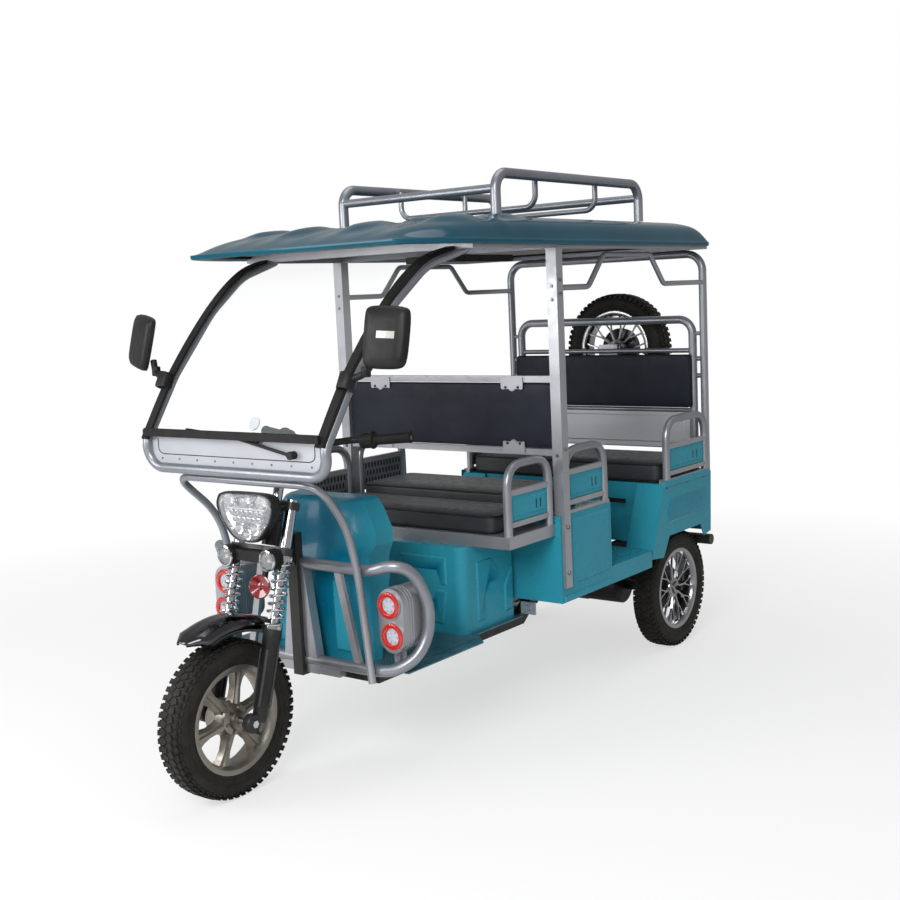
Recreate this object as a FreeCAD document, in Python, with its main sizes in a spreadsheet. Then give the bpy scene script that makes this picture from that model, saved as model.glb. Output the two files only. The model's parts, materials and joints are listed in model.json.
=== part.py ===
import FreeCAD, Part
import Sketcher
import math
import os
import re
from FreeCAD import Placement, Rotation, Vector

# A three-wheeled electric rickshaw. Millimetres and degrees.
# X points to the vehicle's left, the vehicle drives towards -Y, Z is up, and the
# ground is Z = 0. The front end is placed from the front axle, the middle from the
# middle posts and the tail from the rear axle.

doc = FreeCAD.newDocument("ElectricRickshaw")
sheet = doc.addObject("Spreadsheet::Sheet", "Sizes")

DRIVING = {
    # overall
    "front_reach": 1091, "wheelbase": 2073, "body_width": 980, "roof_base": 1620,
    "post_place": 50, "wall": 4, "seat_gap": 0.3,
    # wheels
    "wheel_radius": 240, "tyre_width": 95, "bead_radius": 150, "flange_radius": 165,
    "bead_width": 72, "wheel_inset": 46, "spoke_count": 6, "mesh_count": 10,
    "hub_radius": 46, "spindle_radius": 10, "bearing_gap": 0.4,
    # steering
    "rake": 16.9, "fork_offset": 66, "leg_ahead": 35, "leg_spread": 100,
    "leg_radius": 18, "slider_radius": 26, "spring_radius": 29, "spring_start": 282,
    "spring_length": 205, "crown_start": 500, "crown_thickness": 26,
    "head_length": 110, "head_radius": 27, "stem_radius": 16, "stem_length": 825,
    "headlight_width": 256, "headlight_low": 752, "headlight_height": 155,
    "bar_radius": 11, "grip_radius": 16, "grip_reach": 325, "grip_length": 125,
    # front floor, shield and guard
    "front_floor": 330, "front_floor_width": 790, "plate": 4, "tread": 3, "tread_width": 700,
    "rail_height": 40, "rail_width": 40, "rail_spread": 270,
    "shield_width": 470, "shield_top": 845, "shield_front": 391, "shield_depth": 141,
    "guard_front": 336, "guard_radius": 19, "guard_low": 338, "guard_high": 650,
    "hoop_radius": 12.5, "loop_reach": 434,
    "lamp_width": 98, "lamp_height": 200, "lamp_depth": 130, "lamp_place": 364,
    # dash and windscreen
    "frame_radius": 16, "dash_base": 972, "dash_top": 1092, "dash_ahead": 90,
    "dash_width": 766, "screen_top_width": 840, "glass": 4,
    # roof
    "canopy_width": 1040, "canopy_nose": 355, "canopy_tail": 210, "canopy_height": 106,
    "canopy_lip": 15, "canopy_slope": 330, "frame_bar": 25,
    "rack_width": 680, "rack_length": 975, "rack_start": 1090, "rack_height": 160,
    "rack_radius": 18, "rack_bar_radius": 10,
    # driver's seat
    "seat_box_width": 600, "seat_box_front": 345, "seat_top": 675, "seat_frame_width": 940,
    "seat_frame_front": 306, "seat_bar": 41, "cushion_width": 800,
    "front_cushion_height": 72, "cushion_gap": 6, "seat_margin": 12,
    "battery_width": 440, "battery_depth": 230, "battery_height": 220,
    # middle
    "post_size": 40, "post_base": 448, "post_spread": 482,
    "middle_front": 30, "middle_depth": 342, "sill_base": 395, "step_floor": 456,
    "middle_top": 700, "middle_cushion_start": 48, "middle_cushion_depth": 300,
    "middle_cushion_height": 80, "back_low": 918, "back_high": 1170, "back_bar": 22,
    "board": 24,
    # tail
    "tail_front": 302, "tail_back": 208, "tail_slope": 100, "tail_top": 700,
    "arch_height": 492, "well_width": 740, "rear_cushion_height": 84,
    "rear_cushion_front": 222, "hoop_back": 199, "hoop_spread": 474,
    "rear_pad_low": 963, "rear_pad_high": 1188, "inner_hoop_top": 1328,
    "inner_spread": 425, "spare_height": 1206, "spare_side": 18, "spare_stand": 102.5, "bumper_radius": 21,
    "bumper_end": 180,
    "arm_radius": 17, "arm_bend": 60, "axle_radius": 30, "motor_radius": 78,
}


def column_name(index):
    """Spreadsheet column B holds the values; rows run down the list."""
    return "B%d" % (index + 1)


for index, (word, value) in enumerate(DRIVING.items()):
    sheet.set("A%d" % (index + 1), word)
    sheet.set(column_name(index), str(value))
    sheet.setAlias(column_name(index), word)
doc.recompute()


def size(word):
    """One driving dimension, read from the sheet."""
    return float(sheet.get(word))


def bind(thing, prop, formula):
    """Tie a property to a formula written in the sheet's words."""
    def full(match):
        word = match.group(0)
        return "Sizes." + word if word in DRIVING else word
    thing.setExpression(prop, re.sub(r"[a-z][a-z_]+", full, str(formula)))


PARTS = []


def keep(piece, label):
    """Name a finished sub-part and list it for export."""
    piece.Label = label
    PARTS.append(piece)
    return piece


def keep_shape(shape, label):
    """A sub-part whose shape comes from Part's own functions."""
    piece = doc.addObject("Part::Feature", label)
    piece.Shape = shape
    return keep(piece, label)


def block(name, sides, corner):
    """A box whose three sides and lowest corner follow formulas."""
    box = doc.addObject("Part::Box", name)
    for prop, formula in zip(("Length", "Width", "Height"), sides):
        bind(box, prop, formula)
    for axis, formula in zip("xyz", corner):
        bind(box, "Placement.Base." + axis, formula)
    return box


def cut(name, base, tool):
    result = doc.addObject("Part::Cut", name)
    result.Base = base
    result.Tool = tool
    return result


def brick(low, high):
    """A plain box shape between two corners."""
    span = Vector(*high) - Vector(*low)
    return Part.makeBox(span.x, span.y, span.z, Vector(*low))


def mirrored(shape):
    return shape.mirror(Vector(0, 0, 0), Vector(1, 0, 0))


def both_sides(shape):
    """A shape and its mirror image across the vehicle, as one compound."""
    return Part.makeCompound([shape, mirrored(shape)])


def fused(shapes):
    first = shapes[0]
    return first.multiFuse(list(shapes[1:])).removeSplitter()


def bent_path(points, bends):
    """Straight runs joined by tangent arcs; bends holds one radius or one a corner."""
    places = [Vector(*p) for p in points]
    corners = len(places) - 2
    radii = list(bends) if isinstance(bends, (list, tuple)) else [bends] * corners
    edges = []
    start = places[0]
    for number in range(corners):
        corner = places[number + 1]
        arrive = (corner - places[number]).normalize()
        leave = (places[number + 2] - corner).normalize()
        turn = arrive.getAngle(leave)
        set_back = radii[number] * math.tan(turn / 2)
        first = corner - arrive * set_back
        last = corner + leave * set_back
        inward = (leave - arrive).normalize()
        depth = radii[number] / math.cos(turn / 2) - radii[number]
        edges.append(Part.LineSegment(start, first).toShape())
        edges.append(Part.Arc(first, corner + inward * depth, last).toShape())
        start = last
    edges.append(Part.LineSegment(start, places[-1]).toShape())
    return Part.Wire(edges)


def tube(points, radius, bends=0.0):
    """A round bar along a bent path."""
    start = Vector(*points[0])
    way = (Vector(*points[1]) - start).normalize()
    if len(points) == 2:
        length = (Vector(*points[1]) - start).Length
        return Part.makeCylinder(radius, length, start, way)
    ring = Part.Wire([Part.Circle(start, way, radius).toShape()])
    return bent_path(points, bends).makePipeShell([ring], True, False)


def slab_outline(points, thickness_vector, start=None):
    """A flat outline pushed along a vector."""
    places = [Vector(*p) for p in points]
    face = Part.Face(Part.makePolygon(places + [places[0]]))
    return face.extrude(Vector(*thickness_vector))


def side_plate(outline, x, thickness):
    """An outline in the vehicle's side view, from x inwards by its thickness."""
    return slab_outline([(x - thickness, y, z) for y, z in outline], (thickness, 0, 0))


def base_plane(body, role):
    return [item for item in body.Origin.OriginFeatures if item.Role == role][0]


def sketch_on(body, role, name):
    sketch = body.newObject("Sketcher::SketchObject", name)
    sketch.AttachmentSupport = [(base_plane(body, role), "")]
    sketch.MapMode = "FlatFace"
    return sketch


def centred_rectangle(sketch, width, depth):
    """A rectangle about the sketch's origin, its two sides tied to formulas."""
    corners = [(-10, -10), (10, -10), (10, 10), (-10, 10)]
    for here, there in zip(corners, corners[1:] + corners[:1]):
        line = Part.LineSegment(Vector(here[0], here[1], 0), Vector(there[0], there[1], 0))
        sketch.addGeometry(line, False)
    for side in range(4):
        sketch.addConstraint(Sketcher.Constraint("Coincident", side, 2, (side + 1) % 4, 1))
    for side, kind in enumerate(("Horizontal", "Vertical", "Horizontal", "Vertical")):
        sketch.addConstraint(Sketcher.Constraint(kind, side))
    sketch.addConstraint(Sketcher.Constraint("Symmetric", 0, 1, 2, 1, -1, 1))
    across = sketch.addConstraint(Sketcher.Constraint("DistanceX", 0, 1, 0, 2, 20.0))
    along = sketch.addConstraint(Sketcher.Constraint("DistanceY", 1, 1, 1, 2, 20.0))
    bind(sketch, "Constraints[%d]" % across, width)
    bind(sketch, "Constraints[%d]" % along, depth)


def padded_body(label, width, depth, height, place, corner_radius=0):
    """A body padded up from a centred rectangle, its upright edges rounded."""
    body = doc.addObject("PartDesign::Body", label)
    sketch = sketch_on(body, "XY_Plane", label + "_outline")
    centred_rectangle(sketch, width, depth)
    pad = body.newObject("PartDesign::Pad", label + "_pad")
    pad.Profile = sketch
    bind(pad, "Length", height)
    for axis, formula in zip("xyz", place):
        bind(body, "Placement.Base." + axis, formula)
    doc.recompute()
    if corner_radius:
        fillet = body.newObject("PartDesign::Fillet", label + "_round")
        upright = ["Edge%d" % (number + 1) for number, edge in enumerate(pad.Shape.Edges)
                   if abs(edge.tangentAt(edge.FirstParameter).z) > 0.99]
        fillet.Base = (pad, upright)
        fillet.Radius = corner_radius
    return body


# Places worked out from the driving dimensions.
half = size("body_width") / 2
front_axle = -size("front_reach")
rear_axle = front_axle + size("wheelbase")
post_y = size("post_place")
roof_z = size("roof_base")
radius = size("wheel_radius")
frame_top = roof_z + size("canopy_lip")
frame_low = frame_top - size("frame_bar")

slope = math.radians(size("rake"))
steer_up = Vector(0, math.sin(slope), math.cos(slope))
steer_ahead = Vector(0, -math.cos(slope), math.sin(slope))
steer_foot = Vector(0, front_axle, radius) - steer_ahead * size("fork_offset")


def on_steering(up, ahead=0.0, side=0.0):
    """A point up the steering axis, then ahead of it and out to one side."""
    return steer_foot + steer_up * up + steer_ahead * ahead + Vector(side, 0, 0)


def steering_rod(radius_here, low, high, ahead=0.0, side=0.0):
    """A cylinder parallel to the steering axis."""
    return Part.makeCylinder(radius_here, high - low, on_steering(low, ahead, side), steer_up)


# ---- wheels ----

def wheel_profile(sketch, points):
    """A closed outline in the (across, radius) half plane of a wheel."""
    count = len(points)
    for number in range(count):
        here = Vector(points[number][0], points[number][1], 0)
        there = Vector(points[(number + 1) % count][0], points[(number + 1) % count][1], 0)
        sketch.addGeometry(Part.LineSegment(here, there), False)
    for number in range(count):
        sketch.addConstraint(Sketcher.Constraint("Coincident", number, 2, (number + 1) % count, 1))
        sketch.addConstraint(Sketcher.Constraint("Block", number))


def wheel_ring(label, points):
    """A body turned about the X axis from an outline."""
    body = doc.addObject("PartDesign::Body", label)
    sketch = sketch_on(body, "XY_Plane", label + "_section")
    wheel_profile(sketch, points)
    ring = body.newObject("PartDesign::Revolution", label + "_turned")
    ring.Profile = sketch
    ring.ReferenceAxis = (sketch, ["H_Axis"])
    ring.Angle = 360.0
    doc.recompute()
    return body


def tyre_section():
    """Half round crown, bulging walls and a narrow bead."""
    half_tyre = size("tyre_width") / 2
    half_bead = size("bead_width") / 2
    bead = size("bead_radius")
    flange = size("flange_radius") + 2
    right = [(half_bead, bead), (half_bead, flange), (half_tyre, bead + (radius - bead) * 0.45)]
    right += [(half_tyre, radius - 34), (half_tyre - 8, radius - 15), (half_tyre - 22, radius - 4)]
    right += [(0.0, radius)]
    left = [(-x, r) for x, r in reversed(right[:-1])]
    return right + left


def make_tyre(label, x, y, z):
    body = wheel_ring(label, tyre_section())
    body.Placement = Placement(Vector(x, y, z), Rotation())
    return keep(body, label)


def rim_section():
    """Hub and barrel share one outline only where the spokes join them."""
    half_bead = size("bead_width") / 2
    bead = size("bead_radius")
    flange = size("flange_radius")
    return [(-half_bead - 5, flange), (-half_bead, flange), (-half_bead, bead),
            (half_bead, bead), (half_bead, flange), (half_bead + 5, flange),
            (half_bead + 5, bead - 8), (half_bead - 14, bead - 10),
            (-half_bead + 14, bead - 10), (-half_bead - 5, bead - 8)]


def make_rim(label, x, y, z, spokes, spoke_width, hub_half, bore):
    """Barrel, hub and a ring of spokes, patterned about the axle."""
    body = wheel_ring(label, rim_section())
    reach = size("bead_radius") - 9
    spoke = sketch_on(body, "YZ_Plane", label + "_spoke")
    low = size("hub_radius") - 8
    spoke_half = spoke_width / 2
    outline = [(-spoke_half, low), (spoke_half, low), (spoke_half * 0.8, reach),
               (-spoke_half * 0.8, reach)]
    wheel_profile(spoke, outline)
    pad = body.newObject("PartDesign::Pad", label + "_spoke_pad")
    pad.Profile = spoke
    pad.Length = size("bead_width") * 0.45
    pad.Midplane = True
    doc.recompute()
    ring = body.newObject("PartDesign::PolarPattern", label + "_spokes")
    ring.Originals = [pad]
    ring.Axis = (base_plane(body, "X_Axis"), [""])
    ring.Angle = 360.0
    ring.Occurrences = int(spokes)
    body.Tip = ring
    doc.recompute()
    hub = sketch_on(body, "YZ_Plane", label + "_hub")
    hub.addGeometry(Part.Circle(Vector(0, 0, 0), Vector(0, 0, 1), size("hub_radius")), False)
    hub.addConstraint(Sketcher.Constraint("Coincident", 0, 3, -1, 1))
    hub_size = hub.addConstraint(Sketcher.Constraint("Radius", 0, size("hub_radius")))
    bind(hub, "Constraints[%d]" % hub_size, "hub_radius")
    hub_pad = body.newObject("PartDesign::Pad", label + "_hub_pad")
    hub_pad.Profile = hub
    hub_pad.Length = 2 * hub_half
    hub_pad.Midplane = True
    body.Tip = hub_pad
    doc.recompute()
    hole = sketch_on(body, "YZ_Plane", label + "_bore")
    hole.addGeometry(Part.Circle(Vector(0, 0, 0), Vector(0, 0, 1), bore), False)
    hole.addConstraint(Sketcher.Constraint("Coincident", 0, 3, -1, 1))
    bore_size = hole.addConstraint(Sketcher.Constraint("Radius", 0, bore))
    bind(hole, "Constraints[%d]" % bore_size, "spindle_radius + bearing_gap")
    drilled = body.newObject("PartDesign::Pocket", label + "_drilled")
    drilled.Profile = hole
    drilled.Type = "ThroughAll"
    drilled.Midplane = True
    body.Tip = drilled
    doc.recompute()
    body.Placement = Placement(Vector(x, y, z), Rotation())
    return keep(body, label)


bore = size("spindle_radius") + size("bearing_gap")
rear_wheel_x = half - size("wheel_inset") - size("tyre_width") / 2
hub_half = size("tyre_width") / 2 + 8
spare_y = rear_axle + size("hoop_back") + size("spare_stand")

make_tyre("front_tyre", 0, front_axle, radius)
make_rim("front_rim", 0, front_axle, radius, size("spoke_count"), 62, hub_half, bore)
for side_name, side in (("left", 1), ("right", -1)):
    x = side * rear_wheel_x
    make_tyre("rear_%s_tyre" % side_name, x, rear_axle, radius)
    make_rim("rear_%s_rim" % side_name, x, rear_axle, radius, size("mesh_count"), 16, hub_half, bore)

# The spare hangs behind the rear hoop, its axle along Y.
spare_turn = Rotation(Vector(0, 0, 1), 90)
spare_place = Placement(Vector(size("spare_side"), spare_y, size("spare_height")), spare_turn)
make_tyre("spare_tyre", 0, 0, 0).Placement = spare_place
make_rim("spare_rim", 0, 0, 0, size("mesh_count"), 16, hub_half - 16, bore).Placement = spare_place

# ---- steering: fork, bar, lamps and mudguard ----

leg_ahead = size("leg_ahead")
leg_x = size("leg_spread")
spring_low = size("spring_start")
spring_high = spring_low + size("spring_length")
crown_low = size("crown_start")
crown_high = crown_low + size("crown_thickness")
head_low = crown_high + 3
head_high = head_low + size("head_length")
clamp_low = head_high + 3
clamp_high = clamp_low + size("crown_thickness")


def fork_leg(side):
    """Slider, spring pack and stanchion of one leg, with its axle lug."""
    lug_centre = Vector(side * leg_x, front_axle, radius)
    slider = steering_rod(size("slider_radius"), 8, spring_low, leg_ahead, side * leg_x)
    lug = Part.makeCylinder(30, 30, lug_centre - Vector(15, 0, 0), Vector(1, 0, 0))
    spring = steering_rod(size("spring_radius"), spring_low, spring_high, leg_ahead, side * leg_x)
    stanchion = steering_rod(size("leg_radius"), spring_high, clamp_high, leg_ahead, side * leg_x)
    return [slider, lug, spring, stanchion]


def crown(low, high):
    """A clamp plate from leg to leg, taking in the steering stem."""
    wide = leg_x + size("leg_radius") + 10
    places = [on_steering(low, leg_ahead + 26, -wide), on_steering(low, leg_ahead + 26, wide),
              on_steering(low, leg_ahead - 26, wide), on_steering(low, -28, 28),
              on_steering(low, -28, -28), on_steering(low, leg_ahead - 26, -wide)]
    return slab_outline([tuple(p) for p in places], tuple(steer_up * (high - low)))


spindle = Part.makeCylinder(size("spindle_radius"), 2 * leg_x, Vector(-leg_x, front_axle, radius),
                            Vector(1, 0, 0))
bridge_up = spring_low + 22
bridge = Part.makeCylinder(9, 2 * leg_x, on_steering(bridge_up, leg_ahead, -leg_x), Vector(1, 0, 0))
stem = steering_rod(size("stem_radius"), crown_low, size("stem_length"))
fork = fused(fork_leg(-1) + fork_leg(1) + [crown(crown_low, crown_high), crown(clamp_low, clamp_high),
                                           spindle, bridge, stem])
keep_shape(fork, "fork")


def handlebar():
    """One bent bar swept back to the driver, with its clamp and grips."""
    middle = on_steering(size("stem_length"))
    reach = size("grip_reach")
    grip = size("grip_length")
    back = 200
    tip = Vector(reach, middle.y + back + 36, middle.z + 27)
    inner = Vector(reach - grip, middle.y + back, middle.z + 18)
    elbow = Vector(118, middle.y + back - 14, middle.z + 16)
    shoulder = Vector(52, middle.y + 26, middle.z + 11)
    right = [middle + Vector(0, 0, 11), shoulder, elbow, inner, tip]
    left = [Vector(-p.x, p.y, p.z) for p in reversed(right[1:])]
    route = [tuple(p) for p in left + right[1:]]
    bar = tube(route, size("bar_radius"), [40, 24, 24, 24, 24, 40])
    way = (tip - inner).normalize()
    hold = Part.makeCylinder(size("grip_radius"), grip, inner, way)
    switch = Part.makeCylinder(24, 34, inner - way * 40, way)
    clamp = Part.makeBox(110, 40, 34, Vector(-55, middle.y - 14, middle.z))
    return fused([bar, hold, mirrored(hold), switch, mirrored(switch), clamp])


keep_shape(handlebar().cut(fork), "handlebar")

lamp_y = front_axle + 141
lamp_half = size("headlight_width") / 2
lamp_low = size("headlight_low")
lamp_tall = size("headlight_height")
lamp_side = [(0.38, 0.0), (0.86, 0.42), (1.0, 0.76), (0.84, 1.0)]
lamp_outline = [(lamp_half * x, lamp_low + lamp_tall * z) for x, z in lamp_side]
lamp_outline += [(-x, z) for x, z in reversed(lamp_outline)]
headlight = slab_outline([(x, lamp_y - 26, z) for x, z in lamp_outline], (0, 78, 0))
keep_shape(headlight.cut(fork), "headlight")


def fog_lamps():
    """Two small round lamps on one bracket under the headlight."""
    place = Vector(91, lamp_y - 34, 706)
    lamp = Part.makeCylinder(33, 62, place, Vector(0, 1, 0))
    bracket = brick((-91, lamp_y - 12, 694), (91, lamp_y + 20, 734))
    return fused([lamp, mirrored(lamp), bracket])


keep_shape(fog_lamps().cut(fork), "fog_lamps")


def front_mudguard():
    """A flanged arch turned about the front axle."""
    rise = radius + 76
    flange = radius + 18
    half_guard = 62
    section = [(-half_guard, flange), (-half_guard, rise - 14), (-half_guard + 22, rise),
               (half_guard - 22, rise), (half_guard, rise - 14), (half_guard, flange),
               (half_guard - 4, flange), (half_guard - 4, rise - 16), (half_guard - 24, rise - 4),
               (-half_guard + 24, rise - 4), (-half_guard + 4, rise - 16), (-half_guard + 4, flange)]
    start = Vector(0, front_axle, radius)
    places = [start + Vector(x, 0, up) for x, up in section]
    face = Part.Face(Part.makePolygon(places + [places[0]]))
    face.rotate(start, Vector(1, 0, 0), 30)
    return face.revolve(start, Vector(1, 0, 0), -56)


keep_shape(front_mudguard().cut(fork), "front_mudguard")

# ---- chassis ----

rail_h = size("rail_height")
rail_w = size("rail_width")
rail_x = size("rail_spread")
floor_z = size("front_floor")
step_z = size("step_floor")
floor_front = front_axle + size("guard_front") + 26
rail_back = rear_axle + size("tail_back") - 30
middle_back = post_y - size("middle_front") + size("middle_depth")
tail_face = rear_axle - size("tail_front")


def side_rail(side):
    """A rail that steps up behind the driver's seat."""
    top = [(floor_front, floor_z), (post_y + 20, floor_z), (post_y + 190, step_z), (rail_back, step_z)]
    under = [(y, z - rail_h) for y, z in reversed(top)]
    x = side * rail_x + rail_w / 2
    return side_plate(top + under, x, rail_w)


def crossmember(y, top, reach):
    return brick((-reach, y - rail_w / 2, top - rail_h), (reach, y + rail_w / 2, top))


def chassis():
    head = steering_rod(size("head_radius"), head_low, head_high)
    bore_tool = steering_rod(size("stem_radius") + 1, head_low - 1, head_high + 1)
    neck_y = front_axle + size("guard_front") - 30
    middle = on_steering((head_low + head_high) / 2)
    neck = brick((-20, neck_y, floor_z - rail_h), (20, neck_y + 30, middle.z - 30))
    gusset = slab_outline([(-14, neck_y + 8, middle.z - 60), (-14, middle.y + 10, middle.z + 10),
                           (-14, middle.y + 25, middle.z - 40), (-14, neck_y + 8, middle.z - 150)],
                          (28, 0, 0))
    tongue = brick((-20, neck_y, floor_z - rail_h), (20, floor_front + 30, floor_z))
    members = [crossmember(floor_front + 20, floor_z, rail_x), crossmember(-300 + post_y, floor_z, rail_x),
               crossmember(post_y - 30, floor_z, rail_x), crossmember(middle_back - 60, step_z, half - 40),
               crossmember(tail_face - 60, step_z, half - 40), crossmember(rail_back - 20, step_z, rail_x)]
    whole = fused([side_rail(1), side_rail(-1), head, neck, tongue] + members)
    gusset_part = gusset.cut(bore_tool)
    return whole.fuse(gusset_part).cut(bore_tool).removeSplitter()


chassis_shape = chassis()
keep_shape(chassis_shape, "chassis_frame")

# ---- guard bars ----

guard_y = front_axle + size("guard_front")
guard_r = size("guard_radius")
guard_low = size("guard_low")
guard_high = size("guard_high")
loop_x = size("loop_reach")


def guard_side():
    """One side's crash loop, its two upright flats and its slim hoop leg."""
    loop = tube([(10, guard_y, guard_high), (loop_x - 120, guard_y, guard_high + 6),
                 (loop_x - 40, guard_y + 22, guard_high + 26), (loop_x, guard_y + 80, guard_high - 40),
                 (loop_x + 4, guard_y + 112, guard_low + 160), (loop_x - 8, guard_y + 60, guard_low + 48),
                 (loop_x - 80, guard_y, guard_low + 2), (10, guard_y, guard_low)],
                guard_r, [70, 44, 40, 60, 40, 44])
    inner = slab_outline([(-16, guard_y - 15, guard_high + 14), (30, guard_y - 15, guard_high + 14),
                          (80, guard_y - 15, guard_low - 42), (28, guard_y - 15, guard_low - 42)],
                         (0, 34, 0))
    outer = slab_outline([(150, guard_y - 6, guard_high), (178, guard_y - 6, guard_high),
                          (250, guard_y - 6, guard_low), (222, guard_y - 6, guard_low)],
                         (0, 14, 0))
    return fused([loop, inner, outer])


def slim_hoop():
    """Slim hoop: a bar under the dash and two legs over the loops."""
    leg_y = guard_y - guard_r - size("hoop_radius") + 2
    leg = [(310, front_axle + 123, 941), (279, front_axle + 264, 800), (278, leg_y, 640),
           (312, leg_y, guard_low - 28)]
    other = [(-x, y, z) for x, y, z in leg]
    return tube(list(reversed(other)) + leg, size("hoop_radius"), [60, 60, 26, 26, 60, 60])


foot = brick((-160, guard_y - 10, guard_low - 40), (160, guard_y + 20, guard_low - 4))
guard = fused([guard_side(), mirrored(guard_side()), slim_hoop()])
guard = guard.fuse(foot).removeSplitter().cut(chassis_shape)
keep_shape(guard, "front_guard")


def side_lamps():
    """Upright capsules inside the crash loops, each for two round lamps."""
    wide = size("lamp_width")
    tall = size("lamp_height")
    deep = size("lamp_depth")
    x = size("lamp_place")
    y = guard_y + 12
    middle_z = (guard_low + guard_high) / 2 + 6
    flat = tall / 2 - wide / 2
    core = brick((x - wide / 2, y, middle_z - flat), (x + wide / 2, y + deep, middle_z + flat))
    upper = Part.makeCylinder(wide / 2, deep, Vector(x, y, middle_z + flat), Vector(0, 1, 0))
    lower = Part.makeCylinder(wide / 2, deep, Vector(x, y, middle_z - flat), Vector(0, 1, 0))
    arm = brick((x - 12, y + 20, guard_low), (x + 12, y + 50, middle_z - flat))
    return fused([core, upper, lower, arm])


lamps = side_lamps().cut(guard)
keep_shape(both_sides(max(lamps.Solids, key=lambda solid: solid.Volume)), "side_lamps")

# ---- leg shield and front floor ----

shield_half = size("shield_width") / 2
shield_y = front_axle + size("shield_front")
shield_back = shield_y + size("shield_depth")
plate = size("plate")
plate_top = floor_z + plate


def shield_wire(z, half_width, front, back, chamfer):
    places = [Vector(-half_width, back, z), Vector(-half_width, front + chamfer, z),
              Vector(-half_width + chamfer, front, z), Vector(half_width - chamfer, front, z),
              Vector(half_width, front + chamfer, z), Vector(half_width, back, z)]
    return Part.makePolygon(places + [places[0]])


def shield_form(inset):
    """The shield's outer form, or its hollow when inset by the wall."""
    low = shield_wire(plate_top, shield_half - 10 - inset, shield_y + inset, shield_back - 50 - inset, 34)
    middle = shield_wire(620, shield_half - inset, shield_y + inset, shield_back - inset, 56)
    top = shield_wire(size("shield_top") - inset, shield_half - 58 - inset, shield_y + 40 + inset,
                      shield_back - inset, 44)
    return Part.makeLoft([low, middle, top], True, True)


shield = shield_form(0).cut(shield_form(size("wall")))
keep_shape(shield, "leg_shield")


def front_floor():
    """Patterned plate, wide at the feet and narrow beside the seat box."""
    wide = size("front_floor_width") / 2
    narrow = size("seat_box_width") / 2 + 20
    back = post_y - size("middle_front")
    front = shield_y - 10
    outline = [(-wide, front), (wide, front), (wide, post_y - 370), (narrow, post_y - 300),
               (narrow, back), (-narrow, back), (-narrow, post_y - 300), (-wide, post_y - 370)]
    deck = slab_outline([(x, y, floor_z) for x, y in outline], (0, 0, plate))
    tread = brick((-size("tread_width") / 2, shield_back + 12, plate_top),
                  (size("tread_width") / 2, post_y - size("seat_box_front") - 12, plate_top + size("tread")))
    return fused([deck, tread])


keep_shape(front_floor(), "front_floor")

# ---- driver's seat ----

seat_box = padded_body(
    "seat_box_outer", "seat_box_width", "seat_box_front - middle_front",
    "seat_top - seat_bar - front_floor - plate",
    ("0", "post_place - (seat_box_front + middle_front) / 2", "front_floor + plate"), 34)
seat_core = padded_body(
    "seat_box_inner", "seat_box_width - 2 * wall", "seat_box_front - middle_front - 2 * wall",
    "seat_top - seat_bar - front_floor - plate - wall",
    ("0", "post_place - (seat_box_front + middle_front) / 2", "front_floor + plate"), 30)
keep(cut("seat_box_shell", seat_box, seat_core), "driver_seat_box")

keep(padded_body(
    "battery_block", "battery_width", "battery_depth", "battery_height",
    ("0", "post_place - (seat_box_front + middle_front) / 2", "front_floor + plate"), 6),
    "battery_pack")


def seat_ring():
    """Silver rails round the driver's bench, with the pan that the cushion lies on."""
    outer = block("seat_ring_outer",
                  ("seat_frame_width", "seat_frame_front - middle_front", "seat_bar"),
                  ("-seat_frame_width / 2", "post_place - seat_frame_front", "seat_top - seat_bar"))
    inner = block("seat_ring_inner",
                  ("seat_frame_width - 2 * seat_bar", "seat_frame_front - middle_front - 2 * seat_bar",
                   "seat_bar - 3"),
                  ("-seat_frame_width / 2 + seat_bar", "post_place - seat_frame_front + seat_bar",
                   "seat_top - seat_bar"))
    return cut("seat_ring", outer, inner)


keep(seat_ring(), "seat_frame")

keep(padded_body(
    "front_cushion_pad", "cushion_width",
    "seat_frame_front - seat_margin - middle_cushion_start - cushion_gap", "front_cushion_height",
    ("0", "post_place - (seat_frame_front - seat_margin + middle_cushion_start + cushion_gap) / 2",
     "seat_top + seat_gap"), 30),
    "driver_cushion")

# ---- middle: posts, shared backrest, seat body and step ----

post_bar = size("post_size")
post_x = size("post_spread")
posts = both_sides(brick((post_x - post_bar / 2, post_y - post_bar / 2, size("post_base")),
                         (post_x + post_bar / 2, post_y + post_bar / 2, frame_low)))
keep_shape(posts, "middle_posts")


def middle_body():
    """The seat body between the benches, open below over the rails."""
    wall = size("wall")
    front = post_y - size("middle_front")
    top = size("middle_top")
    sill = size("sill_base")
    outer = brick((-half, front, sill), (half, middle_back, top))
    room = brick((-half + wall, front + wall, sill - 1), (half - wall, middle_back - wall, top - wall))
    step_way = brick((-half + wall, middle_back - wall - 1, sill - 1),
                     (half - wall, middle_back + 1, step_z + plate))
    return outer.cut(room).cut(step_way).cut(posts)


keep_shape(middle_body(), "middle_body")


def step_floor():
    """The passengers' step with its two sill skirts."""
    wall = size("wall")
    sill = size("sill_base")
    deck = brick((-half + wall, middle_back - wall, step_z), (half - wall, tail_face, step_z + plate))
    skirt = brick((half - wall, middle_back, sill), (half, tail_face - 15, step_z + plate))
    tread = brick((-half + 40, middle_back + 24, step_z + plate),
                  (half - 40, tail_face - 30, step_z + plate + size("tread")))
    return fused([deck, skirt, mirrored(skirt), tread])


keep_shape(step_floor(), "step_floor")

keep(padded_body(
    "middle_cushion_pad", "cushion_width", "middle_cushion_depth", "middle_cushion_height",
    ("0", "post_place - middle_cushion_start + middle_cushion_depth / 2", "middle_top + seat_gap"), 30),
    "middle_cushion")


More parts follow.
